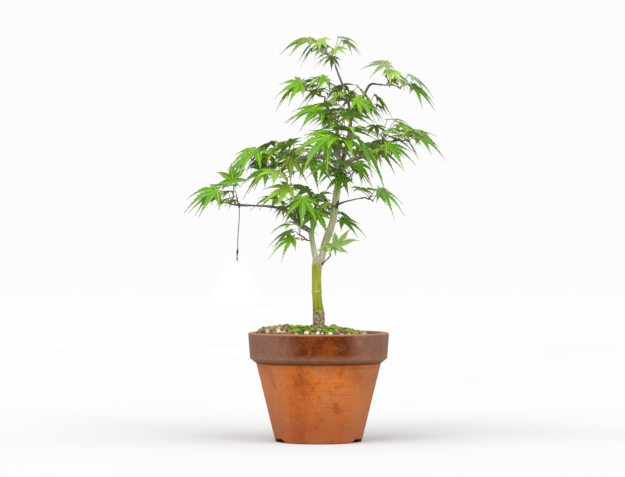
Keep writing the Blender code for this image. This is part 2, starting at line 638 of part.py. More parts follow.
def leaf_posture(draw, tip, along, side, size):
    """One leaf of a pair: its petiole leaves the tip to one side and up, its blade hangs outward."""
    azimuth = math.atan2(along.y, along.x) + side * math.radians(draw.uniform(*PAIR_SPREAD))
    rise = math.radians(draw.uniform(*PETIOLE_RISE))
    level = Vector((math.cos(azimuth), math.sin(azimuth), 0))
    petiole = level * math.cos(rise) + UP * math.sin(rise)
    centre = tip + petiole * draw.uniform(*PETIOLE_LENGTH) * MM
    outward = centre - CROWN_AXIS
    outward.z = 0
    level = (level * (1 - OUTWARD) + outward.normalized() * OUTWARD).normalized()
    pitch = math.radians(draw.uniform(*BLADE_PITCH))
    axis = level * math.cos(pitch) - UP * math.sin(pitch)
    normal = axis.cross(UP.cross(axis).normalized())
    roll = Matrix.Rotation(math.radians(draw.uniform(-BLADE_ROLL, BLADE_ROLL)), 3, axis)
    size *= draw.uniform(*SIZE_RANGE) * MM
    return Leaf(tip - along * ROOT_SUNK * MM, centre, axis, roll @ normal, size)


def shown_leaf(tip, along, petiole, axis, facing, size):
    """A leaf posed as the photo shows it."""
    axis, facing = Vector(axis).normalized(), Vector(facing)
    normal = (facing - axis * facing.dot(axis)).normalized()
    return Leaf(tip - along * ROOT_SUNK * MM, tip + mm(*petiole), axis, normal, size * MM)


def settle_leaf(leaf, name, space):
    """Whether the leaf has room, and if it has, its place is taken."""
    shape, bare = leaf.shape(), leaf.shape(sunk=False)
    if not space.has_room(shape, name, bare):
        return False
    space.add(shape, name, bare)
    return True


def show_leaves(name, tips, space):
    """The leaves of a mass that are posed by hand."""
    leaves = []
    for number, (tip, along) in enumerate(tips):
        if (name, number) in SHOWN_LEAVES:
            leaf = shown_leaf(tip, along, *SHOWN_LEAVES[name, number])
            if not settle_leaf(leaf, name, space):
                raise ValueError(f"{name} has no room for its shown leaf {number}")
            leaves.append(leaf)
    return leaves


def grow_leaves(name, tips, space):
    """A pair of leaves at each tip, or one beside a shown leaf, each turned until it fits."""
    _, _, _, size, seed = MASSES[name]
    draw = random.Random(seed)
    leaves = []
    for number, (tip, along) in enumerate(tips):
        for side in (-1,) if (name, number) in SHOWN_LEAVES else (-1, 1):
            for _ in range(TRIES):
                leaf = leaf_posture(draw, tip, along, side, size)
                if not leaf.folds_back() and settle_leaf(leaf, name, space):
                    leaves.append(leaf)
                    break
    return leaves


def grow_crown(limbs, fixed):
    """The twigs of every mass and then the leaves, so that leaves keep clear of all twigs."""
    space = Space()
    for shape in fixed + [limb.skin() for limb in limbs.values()]:
        space.add(shape)
    twigs, tips = {}, {}
    for name, (carrier, share, ends, _, _) in MASSES.items():
        foot, _ = limbs[carrier].at(share)
        twigs[name] = twigs_of(foot, [mm(*end) for end in ends])
        last = twigs[name] if len(ends) == 1 else twigs[name][1:]
        tips[name] = [(p[-1], (p[-1] - p[-2]).normalized()) for p, _ in last]
        for points, radii in twigs[name]:
            space.add(tube(points, radii, 3), name)
    leaves = {name: show_leaves(name, tips[name], space) for name in MASSES}
    for name in MASSES:
        leaves[name] += grow_leaves(name, tips[name], space)
    return twigs, leaves


def make_mass(name, limb, twigs, leaves):
    """The stem, seated on its limb, joined with its twigs and leaves into one solid."""
    stem_points, stem_radii = twigs[0]
    mass = add_object(name, *tube(stem_points, stem_radii, 3), "leaf")
    apply_boolean(mass, "DIFFERENCE", add_object("skin", *limb.skin(), "bark"))
    pieces = bpy.data.collections.new("pieces")
    bpy.context.scene.collection.children.link(pieces)
    shapes = [tube(points, radii, 3) for points, radii in twigs[1:]]
    shapes += [leaf.shape() for leaf in leaves]
    for verts, faces in shapes:
        piece = add_object("piece", verts, faces, "leaf")
        bpy.context.scene.collection.objects.unlink(piece)
        pieces.objects.link(piece)
    apply_boolean(mass, "UNION", collection=pieces)
    return mass


# Hang tag

def tag_places(limbs):
    """Where the thread goes round the bough, and the bough's radius there."""
    bough = limbs["left_bough"]
    for step in range(1001):
        point, radius = bough.at(step / 1000)
        if point.x < TAG_THREAD_X * MM:
            return point, radius


def ring(centre, across, along, wire, count, sides=4):
    """A closed ring of wire in the YZ plane, an ellipse of the two half sizes."""
    verts, faces = [], []
    for i in range(count):
        turn = 2 * math.pi * i / count
        out = Vector((0, math.cos(turn) / across, math.sin(turn) / along)).normalized()
        middle = centre + Vector((0, across * math.cos(turn), along * math.sin(turn)))
        for k in range(sides):
            roll = 2 * math.pi * k / sides
            verts.append(middle + wire * (math.cos(roll) * out
                                          + math.sin(roll) * Vector((1, 0, 0))))
    for i in range(count):
        for k in range(sides):
            a, b = i * sides + k, i * sides + (k + 1) % sides
            c = (i + 1) % count * sides
            faces.append((a, c + k, c + (k + 1) % sides, b))
    return verts, faces


def card_plate(depth):
    half = CARD_THICKNESS / 2
    count = len(CARD_OUTLINE)
    verts = [mm(TAG_X + x, side * half + depth / MM, CARD_TOP + z)
             for side in (-1, 1) for x, z in CARD_OUTLINE]
    faces = [tuple(range(count)), tuple(range(count, 2 * count))[::-1]]
    faces += [(i, i + count, (i + 1) % count + count, (i + 1) % count) for i in range(count)]
    return verts, faces


def tag_space(bough_point):
    """What the leaves keep clear of: the card, and a wide thread from the bough down to it."""
    thread_foot = Vector((bough_point.x, bough_point.y, CARD_TOP * MM))
    thread = tube([bough_point - UP * 1.5 * MM, thread_foot], [1.2 * MM] * 2, 4)
    return [card_plate(bough_point.y), thread]


def make_card(depth):
    """The card, a flat plate with a hole near its top edge."""
    card = add_object("tag_card", *card_plate(depth), "card")
    hole = mm(TAG_X, depth / MM, CARD_TOP - CARD_HOLE_DEPTH)
    reach = mm(0, 3, 0)
    cutter = add_object("hole_cutter", *tube([hole - reach, hole + reach],
                                             [CARD_HOLE_RADIUS * MM] * 2, 12), "card")
    cutter.hide_render = True
    apply_boolean(card, "DIFFERENCE", cutter)
    return card


def make_thread(bough_point, bough_radius):
    """A loop round the bough, the thread down, the twisted tie, and a loop through the card."""
    wire = THREAD_RADIUS * MM
    loop = bough_radius + GAP + wire
    depth = bough_point.y
    foot_z = CARD_TOP - CARD_HOLE_DEPTH + CARD_HOLE_RADIUS - THREAD_RADIUS - 0.3
    half_height = (TIE_FOOT - foot_z) / 2
    low = mm(TAG_X, depth / MM, foot_z + half_height)
    head = bough_point - UP * loop
    tie_head = mm(TAG_X + 0.6, depth / MM, TIE_HEAD)
    tie_foot = mm(TAG_X, depth / MM, TIE_FOOT - 0.2)
    thread = add_object("tag_thread", *ring(bough_point, loop, loop, wire, 12), "thread")
    pieces = bpy.data.collections.new("pieces")
    bpy.context.scene.collection.children.link(pieces)
    shapes = (
        tube([head + UP * 0.1 * MM, head.lerp(tie_head, 0.5) + Vector((0.0006, 0, 0)),
              tie_head - UP * 0.6 * MM], [wire] * 3, 4),
        tube([tie_head, tie_head.lerp(tie_foot, 0.5), tie_foot],
             [0.7 * TIE_RADIUS * MM, TIE_RADIUS * MM, 0.7 * TIE_RADIUS * MM], 5),
        ring(low, 1.5 * MM, half_height * MM, wire, 14),
    )
    for verts, faces in shapes:
        piece = add_object("piece", verts, faces, "thread")
        bpy.context.scene.collection.objects.unlink(piece)
        pieces.objects.link(piece)
    apply_boolean(thread, "UNION", collection=pieces)
    return thread


def centre_on_spread(objects):
    """Moves the whole plant so that the middle of its spread is over the origin."""
    lows = [min(v.co[i] for obj in objects for v in obj.data.vertices) for i in (0, 1)]
    highs = [max(v.co[i] for obj in objects for v in obj.data.vertices) for i in (0, 1)]
    middle = Vector((lows[0] + highs[0], lows[1] + highs[1], 0)) / 2
    for obj in objects:
        obj.data.transform(Matrix.Translation(-middle))
    print(f"pot axis at x {-middle.x / MM:.2f}, y {-middle.y / MM:.2f} mm")


def main():
    clear_scene()
    pot = make_pot()
    soil = make_soil()
    limbs, limb_objects = make_limbs()
    moss = make_moss(soil, limbs["trunk"].skin())
    bough_point, bough_radius = tag_places(limbs)
    card = make_card(bough_point.y)
    thread = make_thread(bough_point, bough_radius)
    twigs, leaves = grow_crown(limbs, tag_space(bough_point))
    masses = [make_mass(name, limbs[MASSES[name][0]], twigs[name], leaves[name]) for name in MASSES]
    print(sum(len(grown) for grown in leaves.values()), "leaves")
    centre_on_spread([pot, soil, *moss, *limb_objects.values(), card, thread, *masses])


main()
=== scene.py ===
"""The looks of a young Japanese maple in a clay pot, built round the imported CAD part.

Sizes are in millimetres, from the pot's axis at floor level, and turn into metres in mm() and MM.
The limbs' routes and the rule that places twigs and leaves are the part's own, so each leaf grows
where its solid has one. Here it has serrated lobes, folds, ribs and a curved stalk, and the twigs
carry young leaves and buds as well.
"""

import math
import random

import bmesh
import bpy
from mathutils import Matrix, Vector, noise
from mathutils.bvhtree import BVHTree
from mathutils.kdtree import KDTree


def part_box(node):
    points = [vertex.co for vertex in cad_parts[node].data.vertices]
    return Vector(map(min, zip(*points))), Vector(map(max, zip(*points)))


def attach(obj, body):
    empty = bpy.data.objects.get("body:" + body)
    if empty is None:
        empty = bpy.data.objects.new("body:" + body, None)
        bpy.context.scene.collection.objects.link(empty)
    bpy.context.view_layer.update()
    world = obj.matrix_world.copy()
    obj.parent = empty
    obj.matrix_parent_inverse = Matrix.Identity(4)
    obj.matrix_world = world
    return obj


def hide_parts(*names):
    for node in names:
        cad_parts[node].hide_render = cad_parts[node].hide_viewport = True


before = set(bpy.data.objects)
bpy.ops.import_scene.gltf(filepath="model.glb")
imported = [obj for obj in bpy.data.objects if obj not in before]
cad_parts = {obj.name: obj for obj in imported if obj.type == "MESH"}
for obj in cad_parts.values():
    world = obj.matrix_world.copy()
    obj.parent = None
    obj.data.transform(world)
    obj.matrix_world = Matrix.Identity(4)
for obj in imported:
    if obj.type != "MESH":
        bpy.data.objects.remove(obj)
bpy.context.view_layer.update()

MM = 0.001
UP = Vector((0, 0, 1))
GAP = 0.3 * MM
pot_low, pot_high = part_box("pot")
AXIS = Vector(((pot_low.x + pot_high.x) / 2, (pot_low.y + pot_high.y) / 2, 0))

# Where the random draws of each kind of thing start
SEEDS = {"pebbles": 11, "moss": 23, "stalks": 5, "buds": 9, "knot": 2}

# Camera: its place and its sensor in millimetres, its focal length and image in pixels
VIEW_X, VIEW_HEIGHT, VIEW_DISTANCE = -6.7, 223, 2915
FOCAL_PIXELS, IMAGE_WIDTH, SENSOR = 2650, 625, 36

# Light: the world's white; soft suns as (azimuth, height, strength), the azimuth in degrees from
# straight in front to the right; and the share of what a colour looks like that surfaces, the floor
# and the card are given, since this light brightens them
WORLD_LIGHT = 0.975
SUNS = {
    "key": (-28, 50, 2.0), "left": (-72, 44, 0.8), "fill": (34, 44, 1.5), "right": (76, 42, 0.8),
}
SUN_SOFTNESS = 34
LIT_SHARE = 0.56
FLOOR_SHARE = 0.479
CARD_SHARE = 0.69
FLOOR_REACH = 8.0  # metres

# Pot
POT_HEIGHT = 119.8
RIM_RADIUS = 77.5
RIM_FOOT_RADIUS = 75.6
RIM_FOOT_HEIGHT = POT_HEIGHT - 29.0
BODY_TOP_RADIUS = 68.7
BODY_TOP = 86.6
BASE_RADIUS = 47.5
RIM_INNER_RADIUS = 70.0
INNER_FOOT = BODY_TOP + 9
LIP = 2.0
WALL = 7.4
FLOOR_TOP = 12.0
FOOT_RECESS = 4.4
FOOT_RING = 7.5
DRAIN_RADIUS = 9.0
POT_SEGMENTS = 192
NOTCH_ANGLES = (-25, -155, 90)
NOTCH_TOP, NOTCH_BOTTOM = 12.0, 32.0
NOTCH_HEIGHT = 4.4
NOTCH_STEPS = 24
WHEEL_MARKS, DENTS = 0.10, 0.22
DENT_LAYERS = ((60, 0.5), (400, 0.18))  # scale and height

# Soil
SOIL_TOP = 124.2
SOIL_EDGE = 116.0
SOIL_TILT = 3.5
SOIL_BANK = (-44, 10, 24, 34, 3.2)  # middle, half sizes and height of a rise at the left
SOIL_SEGMENTS, SOIL_RINGS = 120, 30
SOIL_CLEAR, SOIL_EDGE_GAP = 0.5, 0.7
SOIL_SUNK = 0.6  # of the mix between the pebbles
TRUNK_PATCH = 9.0
TRUNK_CLEAR = 6.2

# Moss and stones: middle, half sizes and height of each cushion, in the part and in front of it
MOSS_PADS = {
    "moss_left": (-21, -20, 17, 16, 4.6),
    "moss_front": (10, -20, 12, 13, 4.2),
    "moss_right": (35, -8, 10, 12, 3.6),
}
MOSS_PATCHES = [(-16, -44, 16, 11, 3.8), (9, -41, 12, 10, 3.4), (31, -26, 9, 8, 3.0)]
MOSS_SEGMENTS, MOSS_RINGS = 40, 10
MOSS_SPREAD = 1.12  # of the base, past the cushion's own edge
MOSS_RIPPLE, BASE_BUMPS = ((0.18, 0.16),), ((0.9, 0.5),)  # scale and height
BASE_SHARE, BASE_SUNK = 0.6, 0.8  # the base's height by the cushion's, less how far it is sunk
MOSS_TUFTS = 30  # on each cushion
TUFT_SHOOTS = 70
TUFT_RADIUS = (2.0, 3.8)
SHOOT_FOOT, SHOOT_LENGTH, SHOOT_WIDTH = 0.45, (0.5, 0.8), (0.32, 0.5)
SHOOT_RINGS = ((0, 1.0, 0), (0.55, 1.15, 0.5))  # how far along, how wide and how far turned
WHITE_STONES = [(-13, -55, 3.1), (-1, -56, 3.2), (4, -52, 1.8), (-43, -35, 2.4)]  # middle and size
PEBBLE_TRIES = 6500
PEBBLE_SIZES = (0.9, 4.6)
PEBBLE_REACH = 68.0
PEBBLE_CELL = 7  # side of the squares that pebbles are looked up by
PEBBLE_OVERLAP = 0.86
PEBBLE_ROUGHNESS = 0.07
# By its own size: how a pebble's size, width and height vary, and how high it lies
PEBBLE_VARIES, PEBBLE_WIDE, PEBBLE_FLAT = (0.75, 1.1), (0.7, 0.95), (0.6, 0.85)
PEBBLE_LIFT, PEBBLE_SUNK = (0.05, 0.35), 0.5
FINE_PEBBLE = 1.6  # the size above which a pebble is given more faces

# Limbs: what carries each, its sides, and its route as (x, y, z, radius)
LIMBS = {
    "trunk": (None, 12, (
        (0.3, 0, 124.5, 7.0), (0.2, 0, 128.5, 6.3), (0.1, 0, 140.0, 6.2), (-1.2, 0, 151.5, 5.1),
        (-2.0, 0, 165, 4.9), (-2.3, 0, 183, 4.9), (-1.6, 0, 194, 5.4), (-0.9, 0, 201, 5.3),
        (-0.8, 0, 203.5, 3.6))),
    "left_stem": ("trunk", 9, (
        (-3.0, 0, 198, 2.9), (-4.7, 0, 208, 2.9), (-7.0, 0, 221, 2.7), (-8.0, 0, 229, 2.9),
        (-8.5, 0, 234.5, 2.5))),
    "leader": ("trunk", 9, (
        (1.6, 0, 196, 3.4), (3.4, 0, 201, 3.4), (6.6, 0, 216, 3.6), (11.0, 0, 228, 3.9),
        (15.0, 0, 240, 3.4), (17.2, 0, 253, 3.7), (19.6, 0, 271, 3.6), (21.6, 0, 286, 3.3),
        (22.6, 0, 300, 3.4), (23.6, 0, 307, 2.8))),
    "left_bough": ("left_stem", 7, (
        (-7.6, 0, 230.5, 2.5), (-18.7, -1, 237, 2.5), (-27.2, -2, 245.4, 2.4),
        (-35.5, -3, 253.4, 2.3), (-43, -3, 256.2, 1.7), (-54, -3, 258.2, 1.4),
        (-72, -2, 259.2, 1.2), (-84.5, -1, 259.6, 1.5), (-95, -1, 260.4, 1.1))),
    "right_bough": ("leader", 7, (
        (22.5, 0, 302, 2.4), (36.7, -4, 309.4, 2.2), (53, -9, 314.2, 1.8),
        (67.5, -14, 320.6, 1.5), (79.6, -18, 328.6, 1.5), (88, -20, 330.8, 1.1))),
    "left_middle_bough": ("leader", 7, (
        (22.8, 0, 299, 2.4), (14, 6, 309, 2.2), (0.4, 12, 313.4, 2.0), (-23.8, 18, 309.6, 1.7),
        (-42.5, 20, 306.2, 1.4), (-56, 20, 302.4, 1.1))),
    "upper_left_bough": ("leader", 7, (
        (23.4, 1, 303, 2.4), (20.6, 5, 326, 2.1), (20.0, 9, 347, 1.9), (13.6, 13, 362.5, 1.6),
        (7.0, 15, 371.5, 1.3), (7.4, 15, 379.5, 1.0))),
    "upper_right_bough": ("leader", 7, (
        (24.0, -1, 303, 2.6), (31.6, -4, 326, 2.3), (34.6, -6, 345, 2.0), (35.2, -6, 360, 1.7))),
    "top_leader": ("upper_right_bough", 7, (
        (35.0, -6, 357, 1.6), (33.4, -5, 369, 1.6), (29.4, -3, 384, 1.4), (22.6, -1, 401.5, 1.3),
        (17.6, 0, 415.5, 1.0))),
    "upper_right_branch": ("upper_right_bough", 7, (
        (35.0, -6, 353, 1.5), (41.8, -8, 366, 1.4), (49, -10, 378.5, 1.4), (56.4, -11, 391.6, 1.5),
        (66, -10, 391.8, 1.1), (76, -8, 391.2, 1.0))),
    "right_low_branch": ("leader", 6, (
        (17.8, 0, 257.5, 1.3), (26, -2, 262.4, 1.2), (40, -5, 266, 1.0), (51, -7, 268, 1.0))),
    "front_bough": ("leader", 7, (
        (22.2, 0, 296, 2.1), (24.5, -14, 305, 1.9), (27, -32, 313, 1.5), (27.5, -48, 318, 1.1))),
    "back_bough": ("leader", 7, (
        (21.2, 0, 283, 2.1), (20, 16, 292, 1.8), (14, 42, 303, 1.5), (6, 62, 309, 1.1))),
}

# Foliage masses: the limb that carries it, where along that limb, the tips of its twigs, the
# length of a leaf's middle lobe, and the seed of its leaves
MASSES = {
    "far_left": ("left_bough", 1.0, ((-108, -6, 261), (-93, 8, 269)), 36, 11),
    "left_star": ("left_bough", 0.93, ((-90, -6, 270),), 24, 5),
    "left_tip": ("left_middle_bough", 1.0, ((-71, 10, 304), (-64, 29, 307)), 36, 9),
    "left_upper": ("left_middle_bough", 0.66, ((-40, 2, 318), (-27, -12, 314)), 38, 3),
    "left_rise": ("left_middle_bough", 0.8, ((-51, 5, 292), (-34, -8, 286)), 36, 3),
    "low_front": ("left_bough", 0.16, ((-28, -24, 262), (-15, -32, 248)), 40, 3),
    "low_left": ("left_stem", 0.62, ((-18, -14, 221), (-22, 12, 227)), 30, 1),
    "inner_left": ("leader", 0.5, ((2, -14, 251), (-1, 13, 259)), 32, 11),
    "front_low": ("leader", 0.86, ((15, -30, 291), (34, -26, 294)), 40, 3),
    "front_high": ("front_bough", 1.0, ((20, -62, 325), (35, -66, 323)), 48, 9),
    "right_middle": ("right_bough", 0.62, ((70, -34, 311), (70, 4, 318)), 38, 8),
    "right_tip": ("right_bough", 1.0, ((99, -25, 329), (87, -4, 330)), 36, 7),
    "right_rise": ("right_bough", 0.72, ((68, -20, 336), (77, -4, 341)), 26, 4),
    "upper_left": ("upper_left_bough", 1.0, ((-13, 6, 386), (-2, 30, 383)), 36, 11),
    "upper_front": ("upper_right_bough", 0.66, ((7, -24, 355), (22, -32, 350)), 38, 3),
    "upper_middle": ("top_leader", 0.3, ((18, -14, 377), (31, 13, 377)), 34, 2),
    "upper_right_inner": ("upper_right_branch", 0.2, ((47, -26, 360), (52, 8, 361)), 28, 8),
    "top": ("top_leader", 1.0, ((0, -4, 431), (18, 4, 430)), 24, 9),
    "upper_right": ("upper_right_branch", 1.0, ((73, -16, 401), (90, 3, 388)), 34, 2),
    "right_low": ("right_low_branch", 1.0, ((58, -12, 269), (60, 8, 264)), 25, 7),
    "right_inner": ("leader", 0.72, ((40, -14, 297), (37, 15, 288)), 26, 3),
    "fork_right": ("trunk", 0.84, ((13, -12, 204),), 30, 7),
    "leader_right": ("leader", 0.42, ((15, 15, 241),), 34, 3),
    "back_high": ("upper_left_bough", 0.55, ((14, 46, 360), (28, 40, 366)), 38, 7),
    "back_middle": ("back_bough", 1.0, ((-4, 78, 315), (18, 82, 318)), 42, 10),
    "back_right": ("right_bough", 0.3, ((50, 36, 316), (64, 30, 322)), 40, 10),
    "back_left": ("left_middle_bough", 0.45, ((-22, 56, 306), (-38, 48, 300)), 40, 10),
    "back_low": ("left_bough", 0.3, ((-26, 30, 252), (-14, 26, 246)), 36, 7),
}
# Leaves that stand out in the photo, by mass and tip: the petiole, the middle lobe's direction, the
# way the blade faces, and its length
SHOWN_LEAVES = {
    ("far_left", 0): ((-3, -2, 14), (-0.95, -0.12, -0.28), (-0.25, -0.6, 0.75), 40),
    ("left_star", 0): ((-4, -3, 15), (-0.15, 0.1, 1.0), (0, -1, 0.1), 29),
    ("left_upper", 0): ((-9, -3, 2), (-0.75, -0.25, -0.4), (-0.3, -0.5, 0.8), 24),
    ("left_upper", 1): ((-5, -8, -4), (0.62, -0.2, -0.68), (0.4, -0.75, 0.5), 30),
    ("left_rise", 0): ((-6, -6, 5), (-0.95, 0.1, -0.2), (-0.15, -0.8, 0.6), 32),
    ("low_left", 0): ((-10, -2, 2), (-0.85, -0.15, -0.4), (-0.2, -0.5, 0.85), 30),
    ("low_front", 0): ((-4, -2, 16), (-0.87, -0.25, -0.25), (-0.1, -0.6, 0.8), 36),
    ("low_front", 1): ((-2, -3, 19), (-0.05, -0.45, -0.89), (0.05, -0.85, 0.5), 32),
    ("inner_left", 0): ((-4, -10, 1), (-0.25, -0.3, -0.9), (-0.1, -0.85, 0.4), 30),
    ("front_low", 0): ((-6, -8, 10), (-0.87, -0.2, -0.25), (-0.2, -0.6, 0.8), 27),
    ("front_low", 1): ((-9, -9, -3), (-0.3, -0.35, -0.9), (0.1, -0.85, 0.4), 25),
    ("front_high", 1): ((5, 6, 10), (0.60, -0.26, -0.75), (0.75, -0.1, 0.6), 56),
    ("right_middle", 0): ((4, -8, 13), (0.93, -0.1, -0.34), (0.3, -0.5, 0.8), 36),
    ("right_tip", 0): ((9, -1, 5), (0.9, -0.15, -0.42), (0.35, -0.3, 0.88), 34),
    ("upper_left", 0): ((-6, -3, 8), (-0.94, -0.16, -0.26), (-0.2, -0.7, 0.7), 31),
    ("upper_front", 0): ((-4, -4, 8), (-0.98, -0.15, -0.04), (-0.05, -0.5, 0.85), 42),
    ("upper_middle", 0): ((-10, 0, 21), (-0.93, -0.2, -0.25), (-0.1, -0.6, 0.8), 25),
    ("upper_right_inner", 0): ((-6, -2, 15), (0.79, -0.15, -0.56), (0.3, -0.7, 0.6), 26),
    ("top", 0): ((-9, -2, 10), (-0.95, -0.1, -0.15), (-0.1, -0.35, 0.93), 37),
    ("top", 1): ((11, -2, 10), (0.82, -0.13, -0.55), (0.4, -0.3, 0.87), 23),
    ("upper_right", 0): ((3, -2, 12), (-1, -0.1, 0.05), (0, -0.5, 0.87), 31),
    ("upper_right", 1): ((13, -3, 3), (0.62, -0.1, -0.5), (0.62, -0.35, 0.7), 34),
    ("right_inner", 0): ((2, -4, 8), (0.68, -0.15, -0.68), (0.4, -0.6, 0.7), 26),
    ("right_low", 0): ((9, -2, 7), (0.75, -0.1, -0.5), (0.45, -0.4, 0.8), 36),
    ("leader_right", 0): ((10, 0, 2), (0.96, -0.05, -0.27), (0.25, -0.4, 0.85), 30),
    ("fork_right", 0): ((4, -5, 9), (0.55, -0.15, 0.85), (0.7, -0.6, -0.2), 38),
}
CROWN_AXIS = Vector((15, 0, 0)) * MM  # leaves point away from it
STEM_RADIUS = 1.1
TWIG_RADIUS = 0.9
ROOT_SUNK = 1.0
PETIOLE_RADIUS = 0.5
FORK_SHARE = 0.45
ROUTE_STEP = 11.0

# Leaf, as in the part: lobes as (angle, length, half width) in lobe lengths
LOBES = (
    (-126, 0.30, 0), (-82, 0.66, 0.085), (-41, 0.92, 0.105), (0, 1.0, 0.115),
    (41, 0.92, 0.105), (82, 0.66, 0.085), (126, 0.30, 0),
)
NOTCHES = (0.13, 0.22, 0.27, 0.27, 0.22, 0.13)
HEEL, HEEL_ANGLE = 0.03, 30
WIDEST = 0.48
LEAF_THICKNESS = 0.018
DROOP = 0.22
PAIR_SPREAD = (35, 95)
PETIOLE_RISE = (15, 70)
PETIOLE_LENGTH = (11, 23)
NECK = 0.06
PETIOLE_CLEAR = 0.16
BLADE_PITCH = (-15, 45)
BLADE_ROLL = 28
OUTWARD = 0.5
SIZE_RANGE = (0.82, 1.15)
TRIES = 24

# Young leaves, which the part leaves out, and the masses whose twigs are bare of them
BARE_TWIGS = ("fork_right", "left_star", "low_left", "leader_right", "right_inner", "right_low")
YOUNG_SIZE = (13, 25)
YOUNG_PETIOLE = (0.45, 0.75)  # of a grown leaf's petiole
YOUNG_NODE = (0.35, 0.75)  # along each stretch of twig
YOUNG_SEED = 100  # past the mass's own

# The fine leaf of the scene, in leaf lengths
FINE_LOBES = (
    (-124, 0.34, 0.055), (-82, 0.68, 0.088), (-41, 0.93, 0.108), (0, 1.0, 0.118),
    (41, 0.93, 0.108), (82, 0.68, 0.088), (124, 0.34, 0.055),
)
OUTER_NOTCH, OUTER_NOTCH_ANGLE = 0.05, 155
MAIN_LOBE = 0.07  # the half width that tells a main lobe from a basal one
TEETH = {True: 7, False: 3}  # on each edge of a main lobe, and of a basal one
TOOTH_DEPTH, TOOTH_LEAN = 0.026, 0.55
RIB_HALF_WIDTH = 0.0115
RIB_EDGE = 0.004  # the least that the blade stands out beside its rib
BLADE_HALF_THICKNESS = 0.0045
RIB_DEPTH = 0.010  # how far the rib stands out under the blade
FOLD, TIP_DROOP, CURL = (0.25, 0.62), (0.06, 0.24), (-0.05, 0.05)
# How far the lobes of one leaf differ: angle, length, half width, bend and sag
LOBE_RANGES = ((-3.5, 3.5), (0.92, 1.03), (0.88, 1.1), (-0.07, 0.07), (-0.03, 0.05))

# Stalks: how far the middle rises, the radius and what a millimetre of leaf adds to it, the shares
# of it along the stalk, and the share of stalks that are red
STALK_RISE = (0.4, 1.6)
STALK_RADIUS, STALK_GAIN = 0.30, 0.003
STALK_TAPER = (1.35, 1, 0.9, 0.8)
STALK_STEPS, STALK_SIDES = 12, 7
RED_STALKS = 0.6

# Tag
TAG_X, TAG_THREAD_X = -89.6, -87.2
CARD_OUTLINE = (
    (-5.6, 0), (-30.0, -46.5), (-27.6, -55.6), (31.0, -55.6), (33.6, -48.2), (6.4, 0),
)
CARD_TOP = 202.6
CARD_THICKNESS = 0.8
CARD_HOLE_DEPTH, CARD_HOLE_RADIUS = 5.5, 1.9
CARD_HOLE_SIDE, CARD_HOLE_SEGMENTS = 0.2, 32
CARD_CORNER, CORNER_STEPS = 1.1, 5
THREAD_RADIUS, THREAD_SIDES = 0.4, 8
LOOP_SHIFTS = (-0.5, 0.45)  # of the thread's two turns along the bough
LOOP_LEAN = 0.25  # how far each turn leaves its plane
LOOP_STEPS, THREAD_STEPS = 28, 40
THREAD_SWAYS = ((0.3, 0.4), (0.7, -0.2))  # how far along, and how far aside
THREAD_WIDER = 1.15  # the hanging thread's radius, next to the loop's
KNOT = (0.95, 0.85, 0.8)
TIE_FOOT, TIE_HEAD = 205.4, 210.5
TIE_TURNS, TIE_STEPS, TIE_WIRE = 3.5, 44, 0.48
TIE_RADIUS, TIE_BELLY = 0.15, 0.55  # of the twist at its ends, and what its middle adds
CARD_LOOP_HALF_WIDTH, CARD_LOOP_STEPS, CARD_LOOP_WIRE = 1.5, 32, 0.42


def mm(x, y, z):
    return Vector((x, y, z)) * MM


# Materials

def srgb(red, green, blue, share=1.0):
    """A colour of 0 to 255 as the linear values that a shader takes, dimmed to a share."""
    return tuple(
        share * ((v / 255 / 12.92) if v / 255 <= 0.04045 else ((v / 255 + 0.055) / 1.055) ** 2.4)
        for v in (red, green, blue)
    ) + (1.0,)


def seen(red, green, blue):
    """The surface colour that looks like this one under the studio's light."""
    return srgb(red, green, blue, LIT_SHARE)


